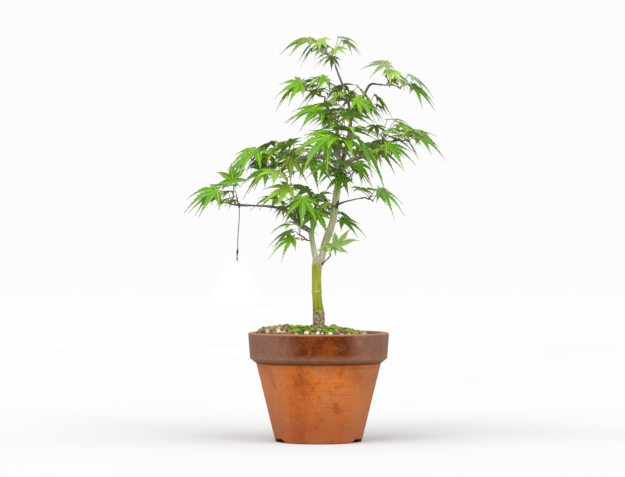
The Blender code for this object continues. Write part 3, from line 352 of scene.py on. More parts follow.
class Finish:
    """A material and short ways to wire its nodes. Lengths given to it are in metres."""

    def __init__(self, name, colour, roughness=0.6, specular=0.5):
        self.material = bpy.data.materials.new(name)
        self.material.use_nodes = True
        self.nodes = self.material.node_tree.nodes
        self.shader = self.nodes["Principled BSDF"].inputs
        self.feed(self.shader["Base Color"], colour)
        self.feed(self.shader["Roughness"], roughness)
        self.feed(self.shader["Specular IOR Level"], specular)

    def feed(self, socket, value):
        """Links a node's output to a socket, or sets the socket to a plain value."""
        if isinstance(value, bpy.types.NodeSocket):
            self.material.node_tree.links.new(value, socket)
        else:
            socket.default_value = value

    def node(self, kind, **inputs):
        made = self.nodes.new(kind)
        for label, value in inputs.items():
            self.feed(made.inputs[label.replace("_", " ")], value)
        return made

    def place(self):
        """Where on the object a point is."""
        return self.node("ShaderNodeTexCoord").outputs["Object"]

    def along(self, axis):
        return self.node("ShaderNodeSeparateXYZ", Vector=self.place()).outputs[axis]

    def noise(self, scale, detail=4.0, rough=0.55, stretch=(1, 1, 1), distortion=0.0):
        stretched = self.node("ShaderNodeMapping", Vector=self.place(), Scale=stretch)
        made = self.node("ShaderNodeTexNoise", Vector=stretched.outputs["Vector"], Scale=scale,
                         Detail=detail, Roughness=rough, Distortion=distortion)
        return made.outputs["Fac"]

    def ramp(self, value, *stops):
        """Stops are (place, colour or grey)."""
        made = self.node("ShaderNodeValToRGB", Fac=value)
        elements = made.color_ramp.elements
        while len(elements) < len(stops):
            elements.new(0.5)
        for element, (place, colour) in zip(elements, stops):
            element.position = place
            element.color = colour if isinstance(colour, tuple) else (colour, colour, colour, 1)
        return made.outputs["Color"]

    def mix(self, share, first, second, blend="MIX"):
        made = self.nodes.new("ShaderNodeMix")
        made.data_type = "RGBA"
        made.blend_type = blend
        for index, value in ((0, share), (6, first), (7, second)):
            self.feed(made.inputs[index], value)
        return made.outputs[2]

    def cover(self, colour, *layers):
        """Lays more colours over one, each as (value, the ramp that makes it a share, colour)."""
        for value, stops, over in layers:
            colour = self.mix(self.ramp(value, *stops), colour, seen(*over))
        return colour

    def math(self, operation, first, second=0.0):
        made = self.nodes.new("ShaderNodeMath")
        made.operation = operation
        self.feed(made.inputs[0], first)
        self.feed(made.inputs[1], second)
        return made.outputs[0]

    def rise(self, value, start, end, top=1.0):
        """From 0 at start to top at end, level outside them."""
        made = self.node("ShaderNodeMapRange", Value=value, From_Min=start, From_Max=end, To_Max=top)
        return made.outputs["Result"]

    def bump(self, value, distance, strength):
        made = self.node("ShaderNodeBump", Height=value, Distance=distance, Strength=strength)
        self.feed(self.shader["Normal"], made.outputs["Normal"])


def clay_finish():
    """Mottled orange clay below; on the rim a dark red-brown glaze. Clay and glaze are paler at the
    left and right sides as painted reflection, and darker under the rim as painted shadow.
    """
    clay = Finish("clay", seen(200, 108, 52), 0.75, 0.06)
    height = clay.along("Z")
    sideways = clay.math("ABSOLUTE", clay.math("SUBTRACT", clay.along("X"), AXIS.x))
    broad = clay.noise(19, 5, 0.6)
    blotch = clay.noise(42, 7, 0.65, (1, 1, 0.8), 0.5)
    fine = clay.noise(480, 6, 0.7)
    scratches = clay.noise(52, 6, 0.7, (0.3, 0.3, 6), 0.6)
    grit = clay.noise(150, 8, 0.75)

    def level(start, end, top=1.0):
        return clay.rise(height, start * MM, end * MM, top)

    body = clay.ramp(broad, (0.34, seen(196, 96, 40)), (0.50, seen(234, 126, 50)),
                     (0.66, seen(238, 138, 70)))
    body = clay.cover(
        body,
        (blotch, ((0.50, 0.0), (0.66, 0.6)), (200, 122, 92)),
        (blotch, ((0.32, 0.8), (0.45, 0.0)), (158, 84, 36)),
        (scratches, ((0.56, 0.0), (0.66, 0.6)), (150, 80, 44)),
        (fine, ((0.58, 0.0), (0.66, 0.75)), (112, 60, 36)),
        (grit, ((0.34, 0.55), (0.44, 0.0)), (140, 76, 46)),
        (grit, ((0.58, 0.0), (0.68, 0.5)), (224, 158, 122)))
    for share, over in (
            (level(58, 18, 0.6), (172, 92, 60)),
            # Painted reflection: the clay is paler and greyer towards its left and right sides.
            (clay.rise(sideways, 0.026, 0.060, 0.55), (206, 146, 104)),
            # Painted shadow: a dark band on the clay just under the rim.
            (level(BODY_TOP - 1.8, BODY_TOP, 0.7), (112, 58, 30))):
        body = clay.mix(share, body, seen(*over))

    glaze = clay.ramp(blotch, (0.34, seen(88, 34, 2)), (0.50, seen(120, 48, 2)),
                      (0.66, seen(152, 74, 10)))
    # Painted reflection: the glaze turns pale mauve-brown towards its left and right sides, along a
    # ragged edge.
    ragged_side_reflection = clay.mix(0.35, sideways, clay.math("MULTIPLY", broad, 0.08))
    for share, over in (
            (clay.rise(ragged_side_reflection, 0.030, 0.044, 0.8), (152, 112, 94)),
            (level(RIM_FOOT_HEIGHT + 8, RIM_FOOT_HEIGHT, 0.75), (164, 116, 88)),
            (level(POT_HEIGHT - 2.2, POT_HEIGHT - 0.8), (172, 126, 94))):
        glaze = clay.mix(share, glaze, seen(*over))
    glaze = clay.cover(
        glaze,
        (scratches, ((0.58, 0.0), (0.70, 0.16)), (184, 136, 104)),
        (fine, ((0.56, 0.0), (0.66, 0.45)), (178, 124, 92)),
        (grit, ((0.34, 0.5), (0.46, 0.0)), (92, 48, 26)),
        (grit, ((0.55, 0.0), (0.68, 0.4)), (184, 132, 104)))
    # Painted shadow: the lowest part of the rim's underside, next to the clay, is dark.
    glaze = clay.mix(level(BODY_TOP + 2.0, BODY_TOP + 1.1), glaze, seen(96, 54, 36))

    on_rim = level(BODY_TOP + 0.2, BODY_TOP + 0.8)
    clay.feed(clay.shader["Base Color"], clay.mix(on_rim, body, glaze))
    clay.feed(clay.shader["Roughness"], clay.ramp(on_rim, (0.0, 0.75), (1.0, 0.5)))
    clay.bump(clay.mix(0.5, fine, scratches), 0.0004, 0.6)
    return clay.material


def bark_finish():
    """Colour by place from the mesh, with fine streaks along the limb and a speckled foot."""
    bark = Finish("bark", seen(171, 184, 90), 0.65, 0.12)
    tint = bark.node("ShaderNodeAttribute")
    tint.attribute_name = "tint"
    streaks = bark.noise(430, 4, 0.6, (1, 1, 0.07))
    specks = bark.noise(800, 3, 0.6)
    grains = bark.noise(330, 3, 0.7)
    shade = bark.ramp(streaks, (0.32, 0.66), (0.50, 0.96), (0.68, 1.24))
    colour = bark.mix(1.0, tint.outputs["Color"], shade, "MULTIPLY")
    colour = bark.cover(colour, (specks, ((0.60, 0.0), (0.68, 0.5)), (104, 82, 62)))
    at_foot = bark.rise(bark.along("Z"), 0.152, 0.141)
    for stops, over in (
            (((0.40, 0.85), (0.48, 0.0)), (84, 66, 54)),
            (((0.56, 0.0), (0.62, 0.7)), (216, 204, 184))):
        share = bark.math("MULTIPLY", at_foot, bark.ramp(grains, *stops))
        colour = bark.mix(share, colour, seen(*over))
    bark.feed(bark.shader["Base Color"], colour)
    bark.bump(streaks, 0.0003, 0.6)
    return bark.material


def grained_finish(name, roughness, specular, grain, stops, relief=None, relief_grain=None):
    """Coloured by one noise. Its relief, as (depth, strength), is from the same one or another."""
    made = Finish(name, stops[0][1], roughness, specular)
    value = made.noise(*grain)
    made.feed(made.shader["Base Color"], made.ramp(value, *stops))
    if relief:
        made.bump(made.noise(*relief_grain) if relief_grain else value, *relief)
    return made.material


def twig_finish():
    stops = ((0.34, seen(84, 64, 60)), (0.52, seen(124, 104, 94)), (0.68, seen(150, 144, 112)))
    return grained_finish("twig_bark", 0.6, 0.2, (110, 4, 0.6), stops, (0.0002, 0.5), (900, 3, 0.6))


def soil_finish():
    stops = ((0.32, seen(48, 36, 24)), (0.50, seen(92, 70, 46)), (0.68, seen(138, 112, 78)))
    return grained_finish("soil", 0.95, 0.2, (420, 8, 0.7), stops, (0.0012, 0.9))


def card_finish():
    stops = ((0.35, srgb(241, 242, 244, CARD_SHARE)), (0.65, srgb(250, 251, 252, CARD_SHARE)))
    return grained_finish("card", 0.5, 0.2, (900, 6, 0.6), stops, (0.00005, 0.3))


def thread_finish():
    stops = ((0.35, seen(64, 60, 58)), (0.65, seen(126, 120, 116)))
    return grained_finish("thread", 0.75, 0.2, (1500, 3, 0.6), stops, (0.0001, 0.5))


def floor_finish():
    stops = ((0.3, srgb(249, 249, 249, FLOOR_SHARE)), (0.7, srgb(252, 252, 252, FLOOR_SHARE)))
    return grained_finish("floor", 0.8, 0.0, (3, 2), stops)


def plain_finishes(colours, roughness, specular):
    """A material of one colour for each name."""
    return [Finish(name, colour, roughness, specular).material for name, colour in colours.items()]


# Leaf colours, dealt out leaf by leaf: which ones by height, and the masses with leaves of one
LEAF_COLOURS = {
    "leaf_fresh": seen(108, 170, 2),
    "leaf_mid": seen(96, 160, 0),
    "leaf_deep": seen(80, 146, 0),
    "leaf_light": seen(150, 196, 60),
    "leaf_pale": seen(190, 234, 122),
    "leaf_grey": seen(138, 160, 104),
    "leaf_olive": seen(122, 152, 44),
}
LEAF_MIXES = (
    (395, ("leaf_grey", "leaf_olive", "leaf_grey", "leaf_mid")),
    (290, ("leaf_fresh", "leaf_mid", "leaf_fresh", "leaf_deep", "leaf_light", "leaf_olive")),
    (0, ("leaf_mid", "leaf_fresh", "leaf_light", "leaf_fresh", "leaf_light")),
)
ONE_COLOUR = {"fork_right": "leaf_pale", "left_star": "leaf_mid", "far_left": "leaf_mid"}
LIGHT_YOUNG = 0.4  # the share of young leaves that are light whatever their height
LEAF_BANDS = {"leaves_low": 0, "leaves_middle": 275, "leaves_high": 345}  # from which height
PEBBLE_COLOURS = {
    "pebble_tan": seen(162, 132, 96), "pebble_brown": seen(124, 92, 64),
    "pebble_cream": seen(202, 182, 140), "pebble_white": seen(236, 230, 214),
    "pebble_grey": seen(130, 118, 102), "pebble_ochre": seen(156, 118, 62),
    "pebble_dark": seen(92, 72, 54),
}
PEBBLE_SHARES = (8, 6, 4, 1, 3, 3, 3)
MOSS_COLOURS = {
    "moss_bright": seen(192, 212, 84), "moss_green": seen(136, 172, 56),
    "moss_dark": seen(72, 90, 34),
}
MOSS_BASE = 2
TUFT_MIXES = ((0, 0, 1), (0, 1, 1), (1, 1, 2), (0, 0, 0))


def leaf_finishes():
    """The blades' colours, then the underside, paler and partly a painted glow of light through the
    leaf, the rib and the dry end of a lobe.
    """
    return [*plain_finishes(LEAF_COLOURS, 0.36, 0.17),
            # The underside is paler, as a maple leaf's is, and brightened further as painted light
            # shining through the leaf.
            *plain_finishes({"leaf_underside_glow": seen(138, 184, 60)}, 0.65, 0.08),
            *plain_finishes({"leaf_rib": seen(188, 222, 84)}, 0.4, 0.2),
            *plain_finishes({"leaf_tip": seen(120, 118, 78)}, 0.6, 0.1)]


# Meshes

def add_object(name, data):
    obj = bpy.data.objects.new(name, data)
    bpy.context.scene.collection.objects.link(obj)
    return obj


def new_mesh(name, shape, shift=Vector()):
    """A mesh of (vertices, faces), moved by shift."""
    verts, faces = shape
    mesh = bpy.data.meshes.new(name)
    mesh.from_pydata([tuple(v + shift) for v in verts], [], faces)
    return mesh


def with_modifiers(obj):
    """A copy of the object's mesh as its modifiers leave it."""
    graph = bpy.context.evaluated_depsgraph_get()
    return bpy.data.meshes.new_from_object(obj.evaluated_get(graph))


class Piece:
    """Vertices, faces and each face's finish, gathered from many shapes into one mesh."""

    def __init__(self):
        self.verts, self.faces, self.finishes = [], [], []

    def add(self, shape, finish=0):
        verts, faces = shape
        start = len(self.verts)
        self.verts += verts
        self.faces += [tuple(start + i for i in face) for face in faces]
        self.finishes += finish if isinstance(finish, list) else [finish] * len(faces)

    def make(self, name, slot, materials, replaces=(), sharp=50):
        mesh = new_mesh(name, (self.verts, self.faces), AXIS)
        for material in materials:
            mesh.materials.append(material)
        mesh.polygons.foreach_set("material_index", self.finishes)
        mesh.shade_smooth()
        mesh.set_sharp_from_angle(angle=math.radians(sharp))
        mesh.validate()
        return settle(add_object(name, mesh), replaces)


def settle(obj, replaces=()):
    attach(obj, "root")
    if replaces:
        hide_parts(*replaces)
    return obj


def bumps(place, layers):
    """The noise at a place, added up from layers of (scale, height)."""
    return sum(height * noise.noise(place * scale) for scale, height in layers)


def circle(count):
    """The cosine and sine of even steps round a circle."""
    turns = [2 * math.pi * k / count for k in range(count)]
    return [(math.cos(turn), math.sin(turn)) for turn in turns]


def band(low, high, count):
    """Quads between two rings of vertices, which start at the numbers low and high."""
    return [(low + k, low + (k + 1) % count, high + (k + 1) % count, high + k)
            for k in range(count)]


def flipped(faces):
    return [(face[0], *face[:0:-1]) for face in faces]


def prism(one, other):
    """A closed solid between two outlines of as many points."""
    count = len(one)
    ends = [tuple(range(count)), tuple(range(count, 2 * count))[::-1]]
    return [*one, *other], ends + flipped(band(0, count, count))


def route(keys, step=ROUTE_STEP):
    """Points and radii, in metres, along a smooth curve through key points in millimetres."""
    rows = [Vector(key) for key in keys]
    ends = [2 * rows[0] - rows[1], *rows, 2 * rows[-1] - rows[-2]]
    points = []
    for a, b, c, d in zip(ends, ends[1:], ends[2:], ends[3:]):
        count = max(1, round((c.xyz - b.xyz).length / step))
        for i in range(count):
            t = i / count
            points.append(0.5 * (2 * b + (c - a) * t + (2 * a - 5 * b + 4 * c - d) * t ** 2
                                 + (3 * b - a - 3 * c + d) * t ** 3))
    points.append(rows[-1])
    return [p.xyz * MM for p in points], [p.w * MM for p in points]


def heading(points, i):
    """The direction of a route at one of its points."""
    return (points[min(i + 1, len(points) - 1)] - points[max(i - 1, 0)]).normalized()


def tube(points, radii, sides):
    """A closed tube round the points, its rings kept from twisting."""
    verts, faces = [], []
    across = None
    for i, (point, radius) in enumerate(zip(points, radii)):
        ahead = heading(points, i)
        if across is None:
            across = ahead.cross(UP if abs(ahead.z) < 0.9 else Vector((0, 1, 0)))
        across = (across - ahead * across.dot(ahead)).normalized()
        beside = ahead.cross(across)
        verts += [point + radius * (c * across + s * beside) for c, s in circle(sides)]
    for ring in range(len(points) - 1):
        faces += band(ring * sides, (ring + 1) * sides, sides)
    faces.append(tuple(range(sides))[::-1])
    faces.append(tuple(range(len(verts) - sides, len(verts))))
    return verts, faces


def smooth_path(points, radii, count):
    """More points along a curve through a few points in metres."""
    return route([(*(p / MM), r / MM) for p, r in zip(points, radii)],
                 sum((b - a).length for a, b in zip(points, points[1:])) / MM / count)


def swollen(points, radii, by=GAP):
    """The same route with its skin and its ends moved out."""
    first = points[0] - (points[1] - points[0]).normalized() * by
    last = points[-1] + (points[-1] - points[-2]).normalized() * by
    return [first, *points[1:-1], last], [r + by for r in radii]


def turned(profile, segments):
    """A closed profile of (radius, height) in millimetres, turned round Z."""
    count = len(profile)
    verts = [mm(r * c, r * s, z) for c, s in circle(segments) for r, z in profile]
    faces = []
    for k in range(segments):
        faces += band(k * count, (k + 1) % segments * count, count)
    return verts, faces


def blob(centre, sizes, detail, draw, rough=0.0):
    """A ball with three half sizes in millimetres, pushed in and out and turned at random."""
    bm = bmesh.new()
    bmesh.ops.create_icosphere(bm, subdivisions=detail, radius=1)
    spin = Matrix.Rotation(draw.uniform(0, 6.28), 3, "Z") @ Matrix.Rotation(
        draw.uniform(0, 3.14), 3, "X")
    sizes = [size * MM for size in sizes]
    verts = []
    for v in bm.verts:
        out = v.co * (1 + draw.uniform(-rough, rough))
        verts.append(centre + spin @ Vector(a * b for a, b in zip(out, sizes)))
    faces = [tuple(v.index for v in f.verts) for f in bm.faces]
    bm.free()
    return verts, faces


# Pot

def body_radius(height):
    return BASE_RADIUS + (BODY_TOP_RADIUS - BASE_RADIUS) * height / BODY_TOP


def arc(centre, radius, start, end, count):
    """Points on an arc in the (radius, height) plane, angles in degrees."""
    return [(centre[0] + radius * math.cos(math.radians(a)),
             centre[1] + radius * math.sin(math.radians(a)))
            for a in (start + (end - start) * i / (count - 1) for i in range(count))]


def between(start, end, count):
    """Points on a line, without its ends."""
    return [(start[0] + (end[0] - start[0]) * i / (count + 1),
             start[1] + (end[1] - start[1]) * i / (count + 1)) for i in range(1, count + 1)]


def pot_profile():
    """The pot's section as (radius, height): up the inside, over the rim, down and underneath."""
    inner_foot = (RIM_INNER_RADIUS - 0.6, INNER_FOOT)
    inner_top = (RIM_INNER_RADIUS, POT_HEIGHT - LIP)
    rim_edge = (RIM_FOOT_RADIUS, RIM_FOOT_HEIGHT + 1.2)
    rim_low = (RIM_FOOT_RADIUS - 0.9, RIM_FOOT_HEIGHT)
    base_edge = (body_radius(1.4), 1.4)
    foot_inner = BASE_RADIUS - FOOT_RING
    return [
        inner_foot,
        *between(inner_foot, inner_top, 6),
        *arc((RIM_INNER_RADIUS + LIP, POT_HEIGHT - LIP), LIP, 180, 90, 6),
        *between((RIM_INNER_RADIUS + LIP, POT_HEIGHT), (RIM_RADIUS - LIP, POT_HEIGHT), 2),
        *arc((RIM_RADIUS - LIP, POT_HEIGHT - LIP), LIP, 90, 0, 7),
        *between((RIM_RADIUS, POT_HEIGHT - LIP), rim_edge, 26),
        rim_edge, (RIM_FOOT_RADIUS - 0.25, RIM_FOOT_HEIGHT + 0.35), rim_low,
        *between(rim_low, (BODY_TOP_RADIUS + 0.6, BODY_TOP), 3),
        (BODY_TOP_RADIUS + 0.2, BODY_TOP - 0.3), (BODY_TOP_RADIUS - 0.25, BODY_TOP - 1.2),
        *between((body_radius(BODY_TOP - 1.4), BODY_TOP - 1.4), base_edge, 70),
        base_edge, (BASE_RADIUS - 0.3, 0.4), (BASE_RADIUS - 1.2, 0),
        (foot_inner, 0), (foot_inner - 1.2, FOOT_RECESS),
        (DRAIN_RADIUS + 0.6, FOOT_RECESS), (DRAIN_RADIUS, FOOT_RECESS + 0.6),
        (DRAIN_RADIUS, FLOOR_TOP), (body_radius(FLOOR_TOP) - WALL, FLOOR_TOP),
        (BODY_TOP_RADIUS - WALL, BODY_TOP),
    ]


def make_pot(material):
    """The turned pot, with faint wheel marks and dents outside, and its notches cut."""
    verts, faces = turned(pot_profile()[::-1], POT_SEGMENTS)
    for v in verts:
        out = Vector((v.x, v.y, 0))
        if v.z > 1.5 * MM and out.length > (body_radius(v.z / MM) - 2) * MM:
            turn = out.normalized()
            wheel = noise.noise(Vector((turn.x * 0.7, turn.y * 0.7, v.z * 900)))
            v -= turn * (0.05 + WHEEL_MARKS * wheel + DENTS * bumps(v, DENT_LAYERS)) * MM
    piece = Piece()
    piece.add((verts, faces))
    pot = piece.make("pot_body", "pot_clay", [material], ["pot"], 30)
    for angle in NOTCH_ANGLES:
        cut_notch(pot, math.radians(angle))
    pot.data.set_sharp_from_angle(angle=math.radians(30))
    return pot


def cut_notch(pot, angle):
    """A drain notch: an arch that is wider at the bottom, cut through the foot ring."""
    outline = []
    for i in range(NOTCH_STEPS + 1):
        share = i / NOTCH_STEPS * 2 - 1
        rise = min(1, (1 - abs(share)) / (1 - NOTCH_TOP / NOTCH_BOTTOM))
        rise *= rise * (3 - 2 * rise)
        outline.append((share * NOTCH_BOTTOM / 2, NOTCH_HEIGHT * rise))
    outline += [(NOTCH_BOTTOM / 2, -1), (-NOTCH_BOTTOM / 2, -1)]
    turn = Matrix.Rotation(angle, 3, "Z")
    ends = [[turn @ mm(along, side, z) for side, z in outline]
            for along in (BASE_RADIUS - 2 * FOOT_RING, BASE_RADIUS + 5)]
    mesh = new_mesh("notch_cutter", prism(*ends), AXIS)
    bm = bmesh.new()
    bm.from_mesh(mesh)
    bmesh.ops.recalc_face_normals(bm, faces=bm.faces)
    bm.to_mesh(mesh)
    bm.free()
    cutter = add_object("notch_cutter", mesh)
    boolean = pot.modifiers.new("notch", "BOOLEAN")
    boolean.operation = "DIFFERENCE"
    boolean.solver = "EXACT"
    boolean.object = cutter
    cut = with_modifiers(pot)
    pot.modifiers.clear()
    pot.data = cut
    bpy.data.objects.remove(cutter, do_unlink=True)


# Soil, pebbles and moss

def soil_height(x, y):
    """The height of the soil over a point, all in millimetres: a low heap, banked on the left."""
    edge = RIM_INNER_RADIUS - 1
    out = min(1, max(0, math.hypot(x, y) - TRUNK_PATCH) / (edge - TRUNK_PATCH))
    heap_x, heap_y, half_width, half_depth, rise = SOIL_BANK
    off = ((x - heap_x) / half_width) ** 2 + ((y - heap_y) / half_depth) ** 2
    level = SOIL_TOP - (SOIL_TOP - SOIL_EDGE) * out ** 1.6 - SOIL_TILT * x / edge * out
    return level + rise * math.exp(-off)


def on_soil(x, y, lift):
    """The place so many millimetres over the soil at a point."""
    return mm(x, y, soil_height(x, y) + lift)


def moss_height(x, y):
    """How far moss stands over the soil at a point, in millimetres, or nothing."""
    best = 0
    for mx, my, a, b, height in [*MOSS_PADS.values(), *MOSS_PATCHES]:
        ripple = bumps(Vector((x, y, 3)), MOSS_RIPPLE)
        out = math.hypot((x - mx) / a, (y - my) / b) + ripple
        if out < 1 and math.hypot(x, y) > TRUNK_CLEAR + 0.4:
            best = max(best, height * math.sqrt(1 - out ** 2))
    return best


def make_soil(material):
    """The mix as a bumpy disc that fills the pot down to its floor."""
    edge, turns = RIM_INNER_RADIUS - SOIL_EDGE_GAP, circle(SOIL_SEGMENTS)
    verts = [mm(0, 0, SOIL_TOP)]
    for i in range(1, SOIL_RINGS + 1):
        for c, s in turns:
            x, y = edge * i / SOIL_RINGS * c, edge * i / SOIL_RINGS * s
            rise = noise.noise(Vector((x, y, 0)) * 0.35) * 0.7
            rise += noise.noise(Vector((x, y, 9)) * 1.1) * 0.4
            verts.append(mm(x, y, soil_height(x, y) - SOIL_SUNK + rise))
    for radius, z in ((edge - SOIL_CLEAR, INNER_FOOT + 0.2),
                      (BODY_TOP_RADIUS - WALL - SOIL_CLEAR, BODY_TOP),
                      (body_radius(FLOOR_TOP) - WALL - SOIL_CLEAR, FLOOR_TOP + 0.3)):
        verts += [mm(radius * c, radius * s, z) for c, s in turns]
    faces = [(0, 1 + k, 1 + (k + 1) % SOIL_SEGMENTS) for k in range(SOIL_SEGMENTS)]
    last = len(verts) - SOIL_SEGMENTS
    for start in range(1, last, SOIL_SEGMENTS):
        faces += flipped(band(start, start + SOIL_SEGMENTS, SOIL_SEGMENTS))
    faces.append(tuple(range(last, last + SOIL_SEGMENTS))[::-1])
    piece = Piece()
    piece.add((verts, faces))
    return piece.make("potting_mix", "soil", [material], ["soil"], 60)


def make_pebbles():
    """Grit and small stones that cover the mix, largest first and then what fits between."""
    draw = random.Random(SEEDS["pebbles"])
    kinds = [kind for kind, share in enumerate(PEBBLE_SHARES) for _ in range(share)]
    white = list(PEBBLE_COLOURS).index("pebble_white")
    cells, piece = {}, Piece()

    def cell(x, y, across=0, along=0):
        return cells.setdefault((int(x // PEBBLE_CELL) + across, int(y // PEBBLE_CELL) + along), [])

    for x, y, size in WHITE_STONES:
        cell(x, y).append((x, y, size))
        sizes = (size, 0.85 * size, 0.7 * size)
        piece.add(blob(on_soil(x, y, 0.45 * size), sizes, 2, draw, PEBBLE_ROUGHNESS), white)
    for attempt in range(PEBBLE_TRIES):
        late = attempt / PEBBLE_TRIES
        size = PEBBLE_SIZES[1] + (PEBBLE_SIZES[0] - PEBBLE_SIZES[1]) * late ** 0.4
        size *= draw.uniform(*PEBBLE_VARIES)
        turn, out = draw.uniform(0, 2 * math.pi), PEBBLE_REACH * math.sqrt(draw.uniform(0.0, 1))
        x, y = out * math.cos(turn), out * math.sin(turn)
        if out > PEBBLE_REACH + 0.8 - size or out < TRUNK_CLEAR or moss_height(x, y) > 0.6:
            continue
        near = [p for i in (-1, 0, 1) for j in (-1, 0, 1) for p in cell(x, y, i, j)]
        if any(math.hypot(x - px, y - py) < PEBBLE_OVERLAP * (size + s) for px, py, s in near):
            continue
        cell(x, y).append((x, y, size))
        flat = draw.uniform(*PEBBLE_FLAT)
        centre = on_soil(x, y, size * draw.uniform(*PEBBLE_LIFT) - PEBBLE_SUNK)
        sizes = (size, size * draw.uniform(*PEBBLE_WIDE), size * flat)
        shape = blob(centre, sizes, 2 if size > FINE_PEBBLE else 1, draw, PEBBLE_ROUGHNESS)
        piece.add(shape, draw.choice(kinds))
    return piece.make("pebbles", "soil", plain_finishes(PEBBLE_COLOURS, 0.8, 0.3), (), 60)


def make_moss():
    """Cushions of short pointed shoots, each cushion round, over a dark base."""
    draw = random.Random(SEEDS["moss"])
    piece = Piece()
    for mx, my, a, b, _ in [*MOSS_PADS.values(), *MOSS_PATCHES]:
        verts, faces = [], []
        for i in range(MOSS_RINGS + 1):
            share = MOSS_SPREAD * i / MOSS_RINGS
            for c, s in circle(MOSS_SEGMENTS):
                x, y = mx + a * share * c, my + b * share * s
                lift = moss_height(x, y) * BASE_SHARE - BASE_SUNK
                verts.append(on_soil(x, y, lift + bumps(Vector((x, y, 5)), BASE_BUMPS)))
        for start in range(0, MOSS_RINGS * MOSS_SEGMENTS, MOSS_SEGMENTS):
            faces += flipped(band(start, start + MOSS_SEGMENTS, MOSS_SEGMENTS))
        faces.append(tuple(range(MOSS_SEGMENTS)))
        piece.add((verts, faces), MOSS_BASE)
        for _ in range(MOSS_TUFTS):
            turn, out = draw.uniform(0, 2 * math.pi), math.sqrt(draw.random())
            x, y = mx + a * out * math.cos(turn), my + b * out * math.sin(turn)
            if moss_height(x, y) > 0:
                add_tuft(piece, x, y, draw)
    finishes = plain_finishes(MOSS_COLOURS, 0.85, 0.15)
    return piece.make("moss_cushions", "moss", finishes, list(MOSS_PADS), 50)


def add_tuft(piece, x, y, draw):
    """A round tuft of three-sided shoots that all point out from its middle."""
    radius = draw.uniform(*TUFT_RADIUS)
    middle = on_soil(x, y, moss_height(x, y) * 0.55 - 0.45 * radius)
    colours = draw.choice(TUFT_MIXES)
    for _ in range(TUFT_SHOOTS):
        spin, lean = draw.uniform(0, 2 * math.pi), math.acos(draw.uniform(0.1, 1))
        out = Vector((math.sin(lean) * math.cos(spin), math.sin(lean) * math.sin(spin),
                      math.cos(lean)))
        across = out.cross(Vector((0.3, 1, 0.2))).normalized()
        beside = out.cross(across)
        foot = middle + out * radius * SHOOT_FOOT * MM
        tall = radius * draw.uniform(*SHOOT_LENGTH) * MM
        wide = draw.uniform(*SHOOT_WIDTH) * MM
        verts = []
        for share, width, twist in SHOOT_RINGS:
            for k in range(3):
                turn = 2 * math.pi * k / 3 + twist
                verts.append(foot + out * tall * share
                             + wide * width * (math.cos(turn) * across + math.sin(turn) * beside))
        verts.append(foot + out * tall)
        faces = [(2, 1, 0)]
        for k in range(3):
            j = (k + 1) % 3
            faces += [(k, j, j + 3), (k, j + 3, k + 3), (k + 3, j + 3, 6)]
        piece.add((verts, faces), draw.choice(colours))


# Limbs

class Limb:
    """One tapering limb: its route, and the tube round it."""

    def __init__(self, name):
        _, self.sides, keys = LIMBS[name]
        self.points, self.radii = route(keys)

    def at(self, share):
        """The point and the radius at a share of the limb's length."""
        runs = [(b - a).length for a, b in zip(self.points, self.points[1:])]
        left = share * sum(runs)
        for i, run in enumerate(runs):
            if left <= run or i == len(runs) - 1:
                t = min(1, left / run)
                point = self.points[i].lerp(self.points[i + 1], t)
                return point, self.radii[i] * (1 - t) + self.radii[i + 1] * t
            left -= run

    def skin(self):
        """The tube that a piece seated on this limb is cut with."""
        points, radii = swollen(self.points, self.radii)
        return tube(points, radii, self.sides)


BARK_VOXEL, BARK_SMOOTHING = 0.45, 5
BARK_FILL = 0.35  # what smoothing takes off a limb
BARK_SIDES, BARK_STEP, SAMPLE_STEP = 20, 3.0, 0.9
TRUNK_ROOT, TRUNK_SUNK = (0.3, 0, 121.5, 7.4), 3.0  # the trunk's foot in the soil, and its depth
THIN_CUT, THIN_FROM = 0.38, 2.0
NODE_SWELL, NODE_WIDTH = 0.3, 1.5
GROOVE_DEPTH, GROOVE_WIDTH = 0.30, 0.35
RELIEF_LAYERS = ((1.1, 0.11), (2.6, 0.05))  # scale and height
FOOT_LAYERS = ((420, 0.35), (1100, 0.2))
STREAK = 0.93  # how far the relief is drawn out along the limb
RING_WIDTH = 0.6
NODE_STEP = 24.0  # between the rings that last year's leaves left
FIRST_NODE = 0.35  # of a step from the limb's start
ROUGH_FOOT_TOP = 146
# Where the rings that show best stand: limb and height
SEEN_RINGS = {"trunk": (165.0,), "left_stem": (231.0,), "leader": (227.5,)}
# Pale scars of twigs that were cut: middle across and up, reach and swelling
SCARS = (
    (3.6, 195.5, 3.4, 1.1), (0.2, 202.5, 2.6, 0.2), (-8.6, 232.0, 2.4, 0.3),
    (11.4, 229.0, 2.6, 0.4), (21.5, 296.0, 3.0, 0.3),
)
BARK_TINTS = {
    "foot": seen(174, 152, 122), "low": seen(156, 170, 12), "trunk": seen(196, 204, 70),
    "stem": seen(242, 240, 204), "leader": seen(230, 236, 176), "bough": seen(160, 154, 130),
    "thin": seen(116, 92, 84), "ring": seen(232, 228, 200), "scar": seen(228, 198, 188),
}
# Where one tint turns into the next: from which height, and over how much more
LOW_TINT, FOOT_TINT, STEM_TINT, LEADER_TINT = (148, 30), (139, 6), (192, 12), (205, 30)
THIN_TINT = (1.25, 0.9)  # from which radius, and over how much more
FOOT_WANDER = 7


def mixed(first, second, share):
    share = min(1, max(0, share))
    return tuple(a + (b - a) * share for a, b in zip(first, second))


def past(value, start, reach):
    return (value - start) / reach


